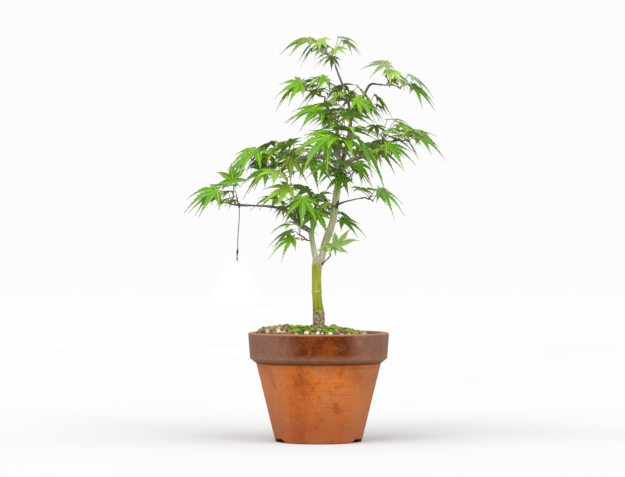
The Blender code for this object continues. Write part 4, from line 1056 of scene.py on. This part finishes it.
def bark_tint(name, z, radius, ring, scar, wander):
    """The bark's colour at a place on a limb: greener and yellower low down, brown when thin."""
    tints = BARK_TINTS
    if name == "trunk":
        colour = mixed(tints["low"], tints["trunk"], past(z, *LOW_TINT) + wander)
        colour = mixed(tints["foot"], colour, past(z + FOOT_WANDER * wander, *FOOT_TINT))
        colour = mixed(colour, tints["stem"], past(z, *STEM_TINT))
    elif name == "left_stem":
        colour = tints["stem"]
    elif name == "leader":
        colour = mixed(tints["stem"], tints["leader"], past(z, *LEADER_TINT) + wander)
    else:
        colour = mixed(tints["thin"], tints["bough"], past(radius, *THIN_TINT) + 0.5 * wander)
    colour = mixed(colour, tints["ring"], ring * (0.75 + 0.3 * wander))
    return mixed(colour, tints["scar"], scar * (0.9 + 0.6 * wander))


def seen_radius(radius):
    """The limb's own radius in millimetres: the part's thinnest solids are thicker than life."""
    thin = min(1, max(0, (THIN_FROM - radius) / (THIN_FROM - 1)))
    return radius + BARK_FILL * min(1, radius / 4) - THIN_CUT * thin


def scar_at(place):
    """How much of a scar is at a place, and how far it swells there, in millimetres."""
    shares = [(math.exp(-(((place.x / MM - x) ** 2 + (place.z / MM - z) ** 2) / reach ** 2)), swell)
              for x, z, reach, swell in SCARS]
    return max(share for share, _ in shares), sum(share * swell for share, swell in shares)


def ring_places(name, limb):
    """Along the limb, in metres from its start: where its node rings are, and where it ends."""
    steps = list(zip(limb.points, limb.points[1:]))
    starts = [0.0]
    for a, b in steps:
        starts.append(starts[-1] + (b - a).length)
    if name not in SEEN_RINGS:
        first, step = FIRST_NODE * NODE_STEP * MM, NODE_STEP * MM
        return [first + step * k for k in range(int((starts[-1] - first) / step) + 1)], starts[-1]
    found = [start + (b - a).length * (z * MM - a.z) / (b.z - a.z)
             for z in SEEN_RINGS[name]
             for (a, b), start in zip(steps, starts) if a.z <= z * MM < b.z]
    if name == "leader":
        found += [found[0] + NODE_STEP * MM * k for k in range(1, 4)]
    return found, starts[-1]


def bark_skin(joined):
    """The limbs' tubes as one smooth mesh."""
    rough = add_object("rough", new_mesh("rough", (joined.verts, joined.faces)))
    remesh = rough.modifiers.new("skin", "REMESH")
    remesh.mode = "VOXEL"
    remesh.voxel_size = BARK_VOXEL * MM
    soften = rough.modifiers.new("soften", "SMOOTH")
    soften.factor = 0.5
    soften.iterations = BARK_SMOOTHING
    skin = with_modifiers(rough)
    bpy.data.objects.remove(rough, do_unlink=True)
    return skin


def make_bark(limbs, material):
    """All limbs as one skin, with their rings, scars and the bark's relief."""
    joined, samples = Piece(), []
    for name, limb in limbs.items():
        keys, far = LIMBS[name][2], 0.0
        if name == "trunk":
            keys, far = (TRUNK_ROOT, *keys), -TRUNK_SUNK * MM
        points, radii = route([(x, y, z, seen_radius(r)) for x, y, z, r in keys], BARK_STEP)
        joined.add(tube(points, radii, BARK_SIDES))
        rings, _ = ring_places(name, limb)
        dense, dense_radii = route(keys, SAMPLE_STEP)
        for i, (point, radius) in enumerate(zip(dense, dense_radii)):
            near = min((abs(far - place) for place in rings), default=1)
            samples.append((point, heading(dense, i), radius / MM, near / MM, name))
            far += (dense[min(i + 1, len(dense) - 1)] - point).length
    skin = bark_skin(joined)
    tree = KDTree(len(samples))
    for i, sample in enumerate(samples):
        tree.insert(sample[0], i)
    tree.balance()
    tints = []
    normals = [v.normal.copy() for v in skin.vertices]
    for v, normal in zip(skin.vertices, normals):
        place = v.co.copy()
        _, ahead, radius, near, name = samples[tree.find(place)[1]]
        relief = bumps((place - ahead * place.dot(ahead) * STREAK) / MM, RELIEF_LAYERS)
        relief -= GROOVE_DEPTH * math.exp(-(near / GROOVE_WIDTH) ** 2) * min(1, radius / 3)
        if place.z < ROUGH_FOOT_TOP * MM:
            relief += bumps(place, FOOT_LAYERS)
        scar, scar_swell = scar_at(place)
        swell = math.exp(-(near / NODE_WIDTH) ** 2)
        relief = relief * min(1, radius / 2) + scar_swell + NODE_SWELL * swell
        v.co = place + normal * relief * MM + AXIS
        ring = math.exp(-(near / RING_WIDTH) ** 2)
        wander = noise.noise(place * 45)
        tints.append(bark_tint(name, place.z / MM, radius, ring, scar, wander))
    attribute = skin.attributes.new("tint", "FLOAT_COLOR", "POINT")
    attribute.data.foreach_set("color", [c for tint in tints for c in tint])
    skin.name = "bark"
    skin.materials.clear()
    skin.materials.append(material)
    skin.shade_smooth()
    return settle(add_object("bark", skin), list(LIMBS))


# Leaves and twigs, placed as in the part

class Leaf:
    """One lobed blade on its petiole: where the petiole starts, and the blade's own frame."""

    def __init__(self, foot, centre, axis, normal, size):
        self.foot, self.centre, self.axis, self.normal, self.size = foot, centre, axis, normal, size
        self.side = normal.cross(axis)

    def on_blade(self, angle, out, lift=0.0):
        """A point of the blade at an angle from the middle lobe, lowered as the lobes droop."""
        angle = math.radians(angle)
        flat = out * (math.cos(angle) * self.axis + math.sin(angle) * self.side)
        drop = DROOP * out ** 2 * UP
        return self.centre + self.size * (flat - drop + lift * self.normal)

    def shape(self, sunk=True):
        """The plain blade and petiole of the part, which tell whether the leaf has room."""
        outline = []
        for i, (angle, length, half_width) in enumerate(LOBES):
            out, lean = WIDEST * length, math.degrees(math.atan2(half_width, WIDEST * length))
            widest = math.hypot(half_width, out)
            if half_width:
                outline += [(angle - lean, widest), (angle, length), (angle + lean, widest)]
            else:
                outline.append((angle, length))
            if i < len(NOTCHES):
                outline.append(((angle + LOBES[i + 1][0]) / 2, NOTCHES[i]))
        heel = len(outline)
        outline += [(180 - HEEL_ANGLE, HEEL), (180 + HEEL_ANGLE, HEEL)]
        verts = [self.on_blade(*place) for place in outline]
        faces, hubs = [], []
        for lift in (LEAF_THICKNESS / 2, -LEAF_THICKNESS / 2):
            hub, before, corner = len(verts), heel + 1, 0
            hubs.append(hub)
            verts.append(self.on_blade(0, 0, lift))
            for angle, length, half_width in LOBES:
                if half_width:
                    rib = len(verts)
                    verts.append(self.on_blade(angle, WIDEST * length, lift))
                    left, tip, right, after = range(corner, corner + 4)
                    fan = [(hub, before, left), (hub, left, rib), (rib, left, tip),
                           (rib, tip, right), (hub, rib, right), (hub, right, after)]
                else:
                    tip, after = corner, corner + 1
                    fan = [(hub, before, tip), (hub, tip, after)]
                before, corner = after, after + 1
                faces += fan if lift > 0 else [face[::-1] for face in fan]
        self.add_petiole(verts, faces, [heel, hubs[0], heel + 1, hubs[1]], sunk)
        return verts, faces

    def folds_back(self):
        """Whether the blade lies over its own petiole."""
        stalk = (self.centre - self.foot).normalized()
        level = Vector((stalk.x, stalk.y, 0)).normalized()
        return stalk.dot(self.axis) < -0.3 or level.dot(self.axis.normalized()) < 0.35

    def add_petiole(self, verts, faces, blade_ring, sunk):
        """Four-sided, straight to a neck behind the blade, then on to the ring at its heel."""
        neck = self.centre - self.axis * NECK * self.size
        foot = self.foot if sunk else self.foot.lerp(neck, PETIOLE_CLEAR)
        onward = (neck - foot).normalized()
        bend = (onward + self.axis).normalized()
        across, rings = self.side, []
        for place, ahead in ((neck, bend), (foot, onward)):
            across = (across - ahead * across.dot(ahead)).normalized()
            above = ahead.cross(across)
            rings.append(range(len(verts), len(verts) + 4))
            verts += [place + PETIOLE_RADIUS * MM * out for out in (across, above, -across, -above)]
        rings = [rings[1], rings[0], blade_ring]
        faces.append(tuple(rings[0])[::-1])
        for ring, after in zip(rings, rings[1:]):
            for k in range(4):
                j = (k + 1) % 4
                faces += [(after[j], after[k], ring[k]), (after[j], ring[k], ring[j])]


class Space:
    """What is already there, so that a new twig or leaf can keep clear of it."""

    def __init__(self):
        self.taken = []

    def add(self, shape, owner=None, bare=None):
        """Bare is the shape less its root, for pieces of one mass that grow from one place."""
        self.taken.append((owner, BVHTree.FromPolygons(*shape),
                           BVHTree.FromPolygons(*(bare or shape))))

    def has_room(self, shape, owner, bare):
        whole, less = BVHTree.FromPolygons(*shape), BVHTree.FromPolygons(*bare)
        return not any(less.overlap(other_less) if who == owner else whole.overlap(other)
                       for who, other, other_less in self.taken)


def twigs_of(foot, tips):
    """A stem from its foot to a fork, then a twig to each tip, as (points, radii)."""
    middle = sum(tips, Vector()) / len(tips)
    fork = foot.lerp(middle, FORK_SHARE) - UP * 1.0 * MM
    if len(tips) == 1:
        return [([foot, fork, tips[0]], [STEM_RADIUS * MM, STEM_RADIUS * MM, TWIG_RADIUS * MM])]
    radii = [STEM_RADIUS * MM, STEM_RADIUS * MM]
    onward = (fork - foot).normalized()
    twigs = [([foot, fork + onward * 0.8 * MM], radii)]
    for tip in tips:
        bend = fork.lerp(tip, 0.55) + UP * 1.2 * MM
        twigs.append(([fork, bend, tip], [STEM_RADIUS * MM, TWIG_RADIUS * MM, TWIG_RADIUS * MM]))
    return twigs


def leaf_posture(draw, tip, along, side, size, reach=1.0):
    """One leaf of a pair: its petiole leaves the tip to one side and up, its blade hangs outward."""
    azimuth = math.atan2(along.y, along.x) + side * math.radians(draw.uniform(*PAIR_SPREAD))
    rise = math.radians(draw.uniform(*PETIOLE_RISE))
    level = Vector((math.cos(azimuth), math.sin(azimuth), 0))
    petiole = level * math.cos(rise) + UP * math.sin(rise)
    centre = tip + petiole * draw.uniform(*PETIOLE_LENGTH) * reach * MM
    outward = centre - CROWN_AXIS
    outward.z = 0
    level = (level * (1 - OUTWARD) + outward.normalized() * OUTWARD).normalized()
    pitch = math.radians(draw.uniform(*BLADE_PITCH))
    axis = level * math.cos(pitch) - UP * math.sin(pitch)
    normal = axis.cross(UP.cross(axis).normalized())
    roll = Matrix.Rotation(math.radians(draw.uniform(-BLADE_ROLL, BLADE_ROLL)), 3, axis)
    size *= draw.uniform(*SIZE_RANGE) * MM
    return Leaf(tip - along * ROOT_SUNK * MM, centre, axis, roll @ normal, size)


def shown_leaf(tip, along, petiole, axis, facing, size):
    """A leaf posed as the photo shows it."""
    axis, facing = Vector(axis).normalized(), Vector(facing)
    normal = (facing - axis * facing.dot(axis)).normalized()
    return Leaf(tip - along * ROOT_SUNK * MM, tip + mm(*petiole), axis, normal, size * MM)


def settle_leaf(leaf, name, space):
    """Whether the leaf has room, and if it has, its place is taken."""
    shape, bare = leaf.shape(), leaf.shape(sunk=False)
    if not space.has_room(shape, name, bare):
        return False
    space.add(shape, name, bare)
    return True


def show_leaves(name, tips, space):
    """The leaves of a mass that are posed one by one."""
    leaves = []
    for number, (tip, along) in enumerate(tips):
        if (name, number) in SHOWN_LEAVES:
            leaf = shown_leaf(tip, along, *SHOWN_LEAVES[name, number])
            if not settle_leaf(leaf, name, space):
                raise ValueError(f"{name} has no room for its shown leaf {number}")
            leaves.append(leaf)
    return leaves


def grow_leaves(name, tips, space):
    """A pair of leaves at each tip, or one beside a shown leaf, each turned until it fits."""
    _, _, _, size, seed = MASSES[name]
    draw = random.Random(seed)
    leaves = []
    for number, (tip, along) in enumerate(tips):
        for side in (-1,) if (name, number) in SHOWN_LEAVES else (-1, 1):
            for _ in range(TRIES):
                leaf = leaf_posture(draw, tip, along, side, size)
                if not leaf.folds_back() and settle_leaf(leaf, name, space):
                    leaves.append(leaf)
                    break
    return leaves


def grow_young(name, twigs, space):
    """Small leaves from the nodes along a mass's twigs, where there is room left."""
    if name in BARE_TWIGS:
        return []
    draw = random.Random(MASSES[name][4] + YOUNG_SEED)
    leaves = []
    for a, b in [step for points, _ in twigs for step in zip(points, points[1:])]:
        along = (b - a).normalized()
        node = a.lerp(b, draw.uniform(*YOUNG_NODE))
        for side in (-1, 1):
            for _ in range(TRIES):
                size, reach = draw.uniform(*YOUNG_SIZE), draw.uniform(*YOUNG_PETIOLE)
                leaf = leaf_posture(draw, node, along, side, size, reach)
                if not leaf.folds_back() and settle_leaf(leaf, name, space):
                    leaves.append(leaf)
                    break
    return leaves


def grow_crown(limbs, fixed):
    """The twigs of every mass, then the leaves, then the young leaves in the room left."""
    space = Space()
    for shape in fixed + [limb.skin() for limb in limbs.values()]:
        space.add(shape)
    twigs, tips = {}, {}
    for name, (carrier, share, ends, _, _) in MASSES.items():
        foot, _ = limbs[carrier].at(share)
        twigs[name] = twigs_of(foot, [mm(*end) for end in ends])
        last = twigs[name] if len(ends) == 1 else twigs[name][1:]
        tips[name] = [(p[-1], (p[-1] - p[-2]).normalized()) for p, _ in last]
        for points, radii in twigs[name]:
            space.add(tube(points, radii, 3), name)
    leaves = {name: show_leaves(name, tips[name], space) for name in MASSES}
    for name in MASSES:
        leaves[name] += grow_leaves(name, tips[name], space)
    young = {name: grow_young(name, twigs[name], space) for name in MASSES}
    return twigs, leaves, young


# Fine leaves

UPPER, UNDER, RIB, DRY = range(4)  # the kinds of a blade's faces; DRY is a lobe's dry end
# Round a lobe's section: its left edge, over the rib, its right edge, and back under the rib
SECTION = (UPPER, RIB, UPPER, UNDER, RIB, UNDER)


class Blade:
    """The fine shape of one leaf: each lobe with its own length, bend, fold and droop."""

    def __init__(self, leaf, draw):
        self.leaf = leaf
        self.verts, self.faces, self.kinds = [], [], []
        self.fold, self.tip_droop, self.curl = (draw.uniform(*r) for r in (FOLD, TIP_DROOP, CURL))
        self.lobes = []
        for angle, length, width in FINE_LOBES:
            turned_by, longer, wider, bend, sag = (draw.uniform(*r) for r in LOBE_RANGES)
            self.lobes.append((angle + turned_by, length * longer, width * wider, bend, sag))

    def put(self, angle, along, across, lift, bend=0.0, sag=0.0):
        """A vertex at a place in a lobe's own terms, all in leaf lengths."""
        angle = math.radians(angle)
        across += bend * along ** 2
        x = along * math.cos(angle) - across * math.sin(angle)
        y = along * math.sin(angle) + across * math.cos(angle)
        out = math.hypot(x, y)
        leaf = self.leaf
        flat = x * leaf.axis + y * leaf.side
        level = math.hypot(flat.x, flat.y) / max(out, 1e-6)
        drop = DROOP * out ** 2 + (self.tip_droop * level + sag) * along ** 4 + self.curl * y
        self.verts.append(leaf.centre + leaf.size * (flat - drop * UP + lift * leaf.normal))
        return len(self.verts) - 1

    def face(self, kind, *corners):
        self.faces.append(corners)
        self.kinds.append(kind)

    def half_width(self, along, start, length, width, base):
        """From the cleft's half width out to the widest place, then in to a long fine tip."""
        widest = max(WIDEST * length, start + 0.1 * length)
        if along < widest:
            t = (along - start) / (widest - start)
            return base + (width - base) * math.sin(t * math.pi / 2)
        t = min(1, (along - widest) / (length - widest))
        return width * (1 - t) ** 1.3 * (1 - 0.2 * t)

    def build(self):
        hubs = (self.put(0, 0, 0, BLADE_HALF_THICKNESS),
                self.put(0, 0, 0, -BLADE_HALF_THICKNESS - RIB_DEPTH))
        clefts = [((one[0] + after[0]) / 2, out)
                  for one, after, out in zip(self.lobes, self.lobes[1:], NOTCHES)]
        clefts = [(-OUTER_NOTCH_ANGLE, OUTER_NOTCH), *clefts, (OUTER_NOTCH_ANGLE, OUTER_NOTCH)]
        corners = [self.put(angle, out, 0, 0.02 * self.fold) for angle, out in clefts]
        rims = list(zip(clefts, corners))
        for lobe, left, right in zip(self.lobes, rims, rims[1:]):
            self.add_lobe(lobe, (left, right), hubs)
        self.face(UPPER, hubs[0], corners[-1], corners[0])
        self.face(UNDER, hubs[1], corners[0], corners[-1])
        return self

    def stations(self, start, length, teeth):
        """Places along a lobe, by turns at a tooth's peak and in the dip behind it."""
        found = []
        for i in range(1, 2 * teeth):
            share = (i + (TOOTH_LEAN if i % 2 else 0)) / (2 * teeth)
            found.append((start + (length - start) * share, i % 2))
        return found

    def add_lobe(self, lobe, rims, hubs):
        """A toothed lobe from its two clefts to its tip, folded along the rib."""
        angle, length, width, bend, sag = lobe
        sides = []
        for (cleft_angle, out), corner in rims:
            lean = math.radians(abs(cleft_angle - angle))
            sides.append((out * math.cos(lean), out * math.sin(lean), corner))
        start = max(0.02, min(side[0] for side in sides))
        rows = []
        for along, peak in [(start, None), *self.stations(start, length, TEETH[width > MAIN_LOBE])]:
            thin = 1 - 0.75 * along / length
            rib = RIB_HALF_WIDTH * thin
            lifts = (BLADE_HALF_THICKNESS, -BLADE_HALF_THICKNESS - RIB_DEPTH * thin)
            row = []
            for sign, (_, base, edge) in zip((-1, 1), sides):
                if peak is not None:
                    half = self.half_width(along, start, length, width, base)
                    half += TOOTH_DEPTH * (0.5 if peak else -0.5) * min(1, half / 0.05)
                    half = max(half, rib + RIB_EDGE)
                    edge = self.put(angle, along, sign * half, self.fold * half, bend, sag)
                ribs = [self.put(angle, along, sign * rib, lift, bend, sag) for lift in lifts]
                row.append((edge, *ribs))
            (edge, top, low), (edge_2, top_2, low_2) = row
            rows.append((edge, top, top_2, edge_2, low_2, low))
        tip = self.put(angle, length, 0, 0, bend, sag)
        for k, kind in enumerate(SECTION):
            j = (k + 1) % len(SECTION)
            under = k >= len(SECTION) // 2
            self.face(kind, hubs[under], rows[0][k], rows[0][j])
            for row, after in zip(rows, rows[1:]):
                corners = (row[k], after[k], after[j], row[j])
                if under:
                    corners = (corners[-1], *corners[:-1])
                self.face(DRY if after is rows[-1] else kind, *corners)
            self.face(DRY, rows[-1][k], tip, rows[-1][j])


def leaf_colour(name, leaf, young, draw):
    """The colour of one leaf, by its mass and how high it hangs."""
    if name in ONE_COLOUR:
        return ONE_COLOUR[name]
    if young and draw.random() < LIGHT_YOUNG:
        return "leaf_light"
    return draw.choice(next(mix for start, mix in LEAF_MIXES if leaf.centre.z > start * MM))


def make_leaves(leaves, young, materials):
    """The blades, joined into a piece for each band of height."""
    names = list(LEAF_COLOURS)
    under, rib, dry = range(len(names), len(names) + 3)
    pieces = {band: (Piece(), []) for band in LEAF_BANDS}
    for name, (_, _, tips, _, _) in MASSES.items():
        draw = random.Random(name)
        piece, owners = pieces[[b for b, start in LEAF_BANDS.items() if tips[0][2] >= start][-1]]
        owners.append(name)
        shown = sum(mass == name for mass, _ in SHOWN_LEAVES)
        for number, leaf in enumerate(leaves[name] + young[name]):
            blade = Blade(leaf, draw).build()
            colour = leaf_colour(name, leaf, number >= len(leaves[name]), draw)
            if number < shown and colour == "leaf_deep":
                colour = "leaf_fresh"
            kind = names.index(colour)
            finishes = (kind, kind if colour == "leaf_pale" else under, rib, dry)
            piece.add((blade.verts, blade.faces), [finishes[k] for k in blade.kinds])
    return [piece.make(band, "foliage", materials, sorted(owners), 25)
            for band, (piece, owners) in pieces.items()]


def make_petioles(leaves, young):
    """The curved stalks, some reddish and some green."""
    piece = Piece()
    draw = random.Random(SEEDS["stalks"])
    for leaf in [x for group in (leaves, young) for grown in group.values() for x in grown]:
        end = leaf.centre - leaf.normal * (BLADE_HALF_THICKNESS + 0.4 * RIB_DEPTH) * leaf.size
        neck = leaf.centre - leaf.axis * 0.10 * leaf.size - leaf.normal * 0.02 * leaf.size
        middle = leaf.foot.lerp(neck, 0.5) + UP * draw.uniform(*STALK_RISE) * MM
        thick = STALK_RADIUS + STALK_GAIN * leaf.size / MM
        points, radii = smooth_path([leaf.foot, middle, neck, end],
                                    [share * thick * MM for share in STALK_TAPER], STALK_STEPS)
        piece.add(tube(points, radii, STALK_SIDES), 0 if draw.random() < RED_STALKS else 1)
    colours = {"petiole_red": seen(160, 118, 104), "petiole_green": seen(156, 168, 92)}
    return piece.make("leaf_stalks", "foliage", plain_finishes(colours, 0.5, 0.25))


TWIG_NODE = 9  # steps along a twig from node to node
TWIG_STEPS, TWIG_SIDES = 22, 9
TWIG_THIN, TWIG_NODE_SWELL, TWIG_NODE_WIDTH = 0.66, 0.26, 1.1
END_BUD, NODE_BUD, LIMB_BUD = (0.8, 0.6, 0.6), (0.55, 0.4, 0.4), (0.8, 0.6, 0.55)
BUDS_FROM = 30  # along the trunk


def make_twigs(twigs, limbs, material):
    """The twigs of the masses, thicker at each node, with buds at nodes and tips."""
    piece, buds = Piece(), Piece()
    draw = random.Random(SEEDS["buds"])
    for points, radii in [run for runs in twigs.values() for run in runs]:
        fine, fine_radii = smooth_path(points, radii, TWIG_STEPS)
        shaped = []
        for i, radius in enumerate(fine_radii):
            far = i % TWIG_NODE
            node = sum(math.exp(-(d / TWIG_NODE_WIDTH) ** 2) for d in (far, TWIG_NODE - far))
            shaped.append(radius * (TWIG_THIN + TWIG_NODE_SWELL * node))
        piece.add(tube(fine, shaped, TWIG_SIDES))
        ahead = (fine[-1] - fine[-2]).normalized()
        buds.add(blob(fine[-1] + ahead * 0.5 * MM, END_BUD, 2, draw))
        for i in range(TWIG_NODE, len(fine) - 2, TWIG_NODE):
            across = (fine[i + 1] - fine[i]).normalized().cross(UP).normalized()
            for sign in (-1, 1):
                buds.add(blob(fine[i] + across * sign * shaped[i], NODE_BUD, 1, draw))
    for name, limb in limbs.items():
        rings, total = ring_places(name, limb)
        for place in rings:
            if name == "trunk" and place < BUDS_FROM * MM:
                continue
            point, radius = limb.at(min(1, place / total))
            radius = seen_radius(radius / MM) * MM
            ahead, _ = limb.at(min(1, place / total + 0.02))
            along = ahead - point if (ahead - point).length > 0 else UP
            across = along.normalized().cross(Vector((0.3, 1, 0.2))).normalized()
            for sign in (-1, 1):
                buds.add(blob(point + across * sign * radius * 1.02, LIMB_BUD, 2, draw))
    piece.make("twigs", "bark", [material])
    buds.make("buds", "bark", plain_finishes({"bud": seen(136, 98, 88)}, 0.5, 0.25))


# Hang tag

def tag_places(limbs):
    """Where the thread goes round the bough, and the bough's radius there."""
    bough = limbs["left_bough"]
    for step in range(1001):
        point, radius = bough.at(step / 1000)
        if point.x < TAG_THREAD_X * MM:
            return point, radius


def card_plate(depth):
    """The card as a plain plate, as in the part."""
    return prism(*([mm(TAG_X + x, side * CARD_THICKNESS / 2 + depth / MM, CARD_TOP + z)
                    for x, z in CARD_OUTLINE] for side in (-1, 1)))


def tag_space(bough_point):
    """What the leaves keep clear of: the card, and a wide thread from the bough down to it."""
    thread_foot = Vector((bough_point.x, bough_point.y, CARD_TOP * MM))
    thread = tube([bough_point - UP * 1.5 * MM, thread_foot], [1.2 * MM] * 2, 4)
    return [card_plate(bough_point.y), thread]


def rounded_outline():
    """The card's outline with each corner as a short arc."""
    corners = [Vector(p) for p in CARD_OUTLINE]
    found = []
    for i, corner in enumerate(corners):
        before = (corners[i - 1] - corner).normalized()
        after = (corners[(i + 1) % len(corners)] - corner).normalized()
        start, end = corner + before * CARD_CORNER, corner + after * CARD_CORNER
        for k in range(CORNER_STEPS + 1):
            t = k / CORNER_STEPS
            found.append((1 - t) ** 2 * start + 2 * t * (1 - t) * corner + t ** 2 * end)
    return found


def make_card(depth, material):
    """A thin card with rounded corners and a punched hole; its printed face is left blank."""
    hole = Vector((CARD_HOLE_SIDE, -CARD_HOLE_DEPTH))
    punched = [hole + CARD_HOLE_RADIUS * Vector(out) for out in circle(CARD_HOLE_SEGMENTS)]
    bm = bmesh.new()
    rings = []
    for side in (-1, 1):
        edges = []
        for points in (rounded_outline(), punched):
            ring = [bm.verts.new(mm(TAG_X + p.x, side * CARD_THICKNESS / 2 + depth / MM,
                                    CARD_TOP + p.y) + AXIS) for p in points]
            edges += [bm.edges.new(pair) for pair in zip(ring, ring[1:] + ring[:1])]
            rings.append(ring)
        bmesh.ops.triangle_fill(bm, edges=edges, use_beauty=True)
    for one, other in zip(rings[:2], rings[2:]):
        for i, corner in enumerate(one):
            j = (i + 1) % len(one)
            bm.faces.new((corner, one[j], other[j], other[i]))
    bmesh.ops.recalc_face_normals(bm, faces=bm.faces)
    mesh = bpy.data.meshes.new("hang_tag")
    bm.to_mesh(mesh)
    bm.free()
    mesh.materials.append(material)
    return settle(add_object("hang_tag", mesh), ["tag_card"])


def loop_points(centre, across, along, count, lean):
    """Points of a closed ellipse in the YZ plane, with its first point again at the end."""
    return [centre + Vector((lean * math.sin(4 * math.pi * i / count) * MM,
                             across * math.cos(2 * math.pi * i / count),
                             along * math.sin(2 * math.pi * i / count)))
            for i in range(count + 1)]


def make_thread(bough_point, bough_radius, materials):
    """A double loop round the bough, the thread, the twisted tie and its loop through the card."""
    wire = THREAD_RADIUS * MM
    loop = bough_radius + GAP + wire
    depth = bough_point.y / MM
    piece = Piece()

    def lay(points, radius, finish=0):
        piece.add(tube(points, [radius] * len(points), THREAD_SIDES), finish)

    for shift in LOOP_SHIFTS:
        lay(loop_points(bough_point + mm(shift, 0, 0), loop, loop, LOOP_STEPS, LOOP_LEAN), wire)
    head = bough_point - UP * loop
    piece.add(blob(head - UP * 0.4 * MM, KNOT, 2, random.Random(SEEDS["knot"])))
    tie_head, tie_foot = mm(TAG_X + 0.6, depth, TIE_HEAD), mm(TAG_X, depth, TIE_FOOT - 0.6)
    sways = [head.lerp(tie_head, share) + mm(aside, 0, 0) for share, aside in THREAD_SWAYS]
    keys = [head, *sways, tie_head]
    points, _ = smooth_path(keys, [wire] * len(keys), THREAD_STEPS)
    lay(points, THREAD_WIDER * wire)
    for phase in (0, math.pi):
        strand = []
        for i in range(TIE_STEPS + 1):
            share = i / TIE_STEPS
            turn = phase + 2 * math.pi * TIE_TURNS * share
            swell = TIE_BELLY * math.sin(math.pi * share) + TIE_RADIUS
            middle = (tie_head + UP * 1.2 * MM).lerp(tie_foot, share)
            strand.append(middle + Vector((math.cos(turn), math.sin(turn), 0)) * swell * MM)
        lay(strand, TIE_WIRE * MM, 1)
    foot_z = CARD_TOP - CARD_HOLE_DEPTH + CARD_HOLE_RADIUS - THREAD_RADIUS - GAP / MM
    half_height = (TIE_FOOT - foot_z) / 2
    low_point = mm(TAG_X, depth, foot_z + half_height)
    lay(loop_points(low_point, CARD_LOOP_HALF_WIDTH * MM, half_height * MM, CARD_LOOP_STEPS, 0),
        CARD_LOOP_WIRE * MM, 1)
    return piece.make("tag_string", "tag_thread", materials, ["tag_thread"])


# Stage

def make_stage():
    """A wide pale floor, white all round, and soft suns in front and at each side."""
    corners = [Vector((x, y, 0)) * FLOOR_REACH for x, y in ((-1, -1), (1, -1), (1, 1), (-1, 1))]
    mesh = new_mesh("floor", (corners, [(0, 1, 2, 3)]))
    mesh.materials.append(floor_finish())
    floor = add_object("floor", mesh)
    world = bpy.data.worlds.new("white_studio")
    bpy.context.scene.world = world
    world.use_nodes = True
    background = world.node_tree.nodes["Background"].inputs
    background["Color"].default_value = (1, 1, 1, 1)
    background["Strength"].default_value = WORLD_LIGHT
    for name, (azimuth, height, power) in SUNS.items():
        light = bpy.data.lights.new(name, "SUN")
        light.energy = power
        light.angle = math.radians(SUN_SOFTNESS)
        sun = add_object(name, light)
        sun.rotation_euler = (math.radians(90 - height), 0, math.radians(azimuth))


def make_camera():
    data = bpy.data.cameras.new("camera")
    data.lens = FOCAL_PIXELS / IMAGE_WIDTH * SENSOR
    data.sensor_width = SENSOR
    camera = add_object("camera", data)
    camera.location = AXIS + mm(VIEW_X, -VIEW_DISTANCE, VIEW_HEIGHT)
    camera.rotation_euler = (math.radians(90), 0, 0)
    bpy.context.scene.camera = camera


def main():
    make_camera()
    make_pot(clay_finish())
    make_soil(soil_finish())
    make_pebbles()
    make_moss()
    limbs = {name: Limb(name) for name in LIMBS}
    make_bark(limbs, bark_finish())
    bough_point, bough_radius = tag_places(limbs)
    make_card(bough_point.y, card_finish())
    tie = Finish("tie", seen(38, 36, 36), 0.5, 0.4).material
    make_thread(bough_point, bough_radius, [thread_finish(), tie])
    twigs, leaves, young = grow_crown(limbs, tag_space(bough_point))
    print(sum(map(len, leaves.values())), "leaves and", sum(map(len, young.values())), "young")
    make_leaves(leaves, young, leaf_finishes())
    make_petioles(leaves, young)
    make_twigs(twigs, limbs, twig_finish())
    make_stage()
    bpy.context.scene.view_settings.view_transform = "Standard"


main()
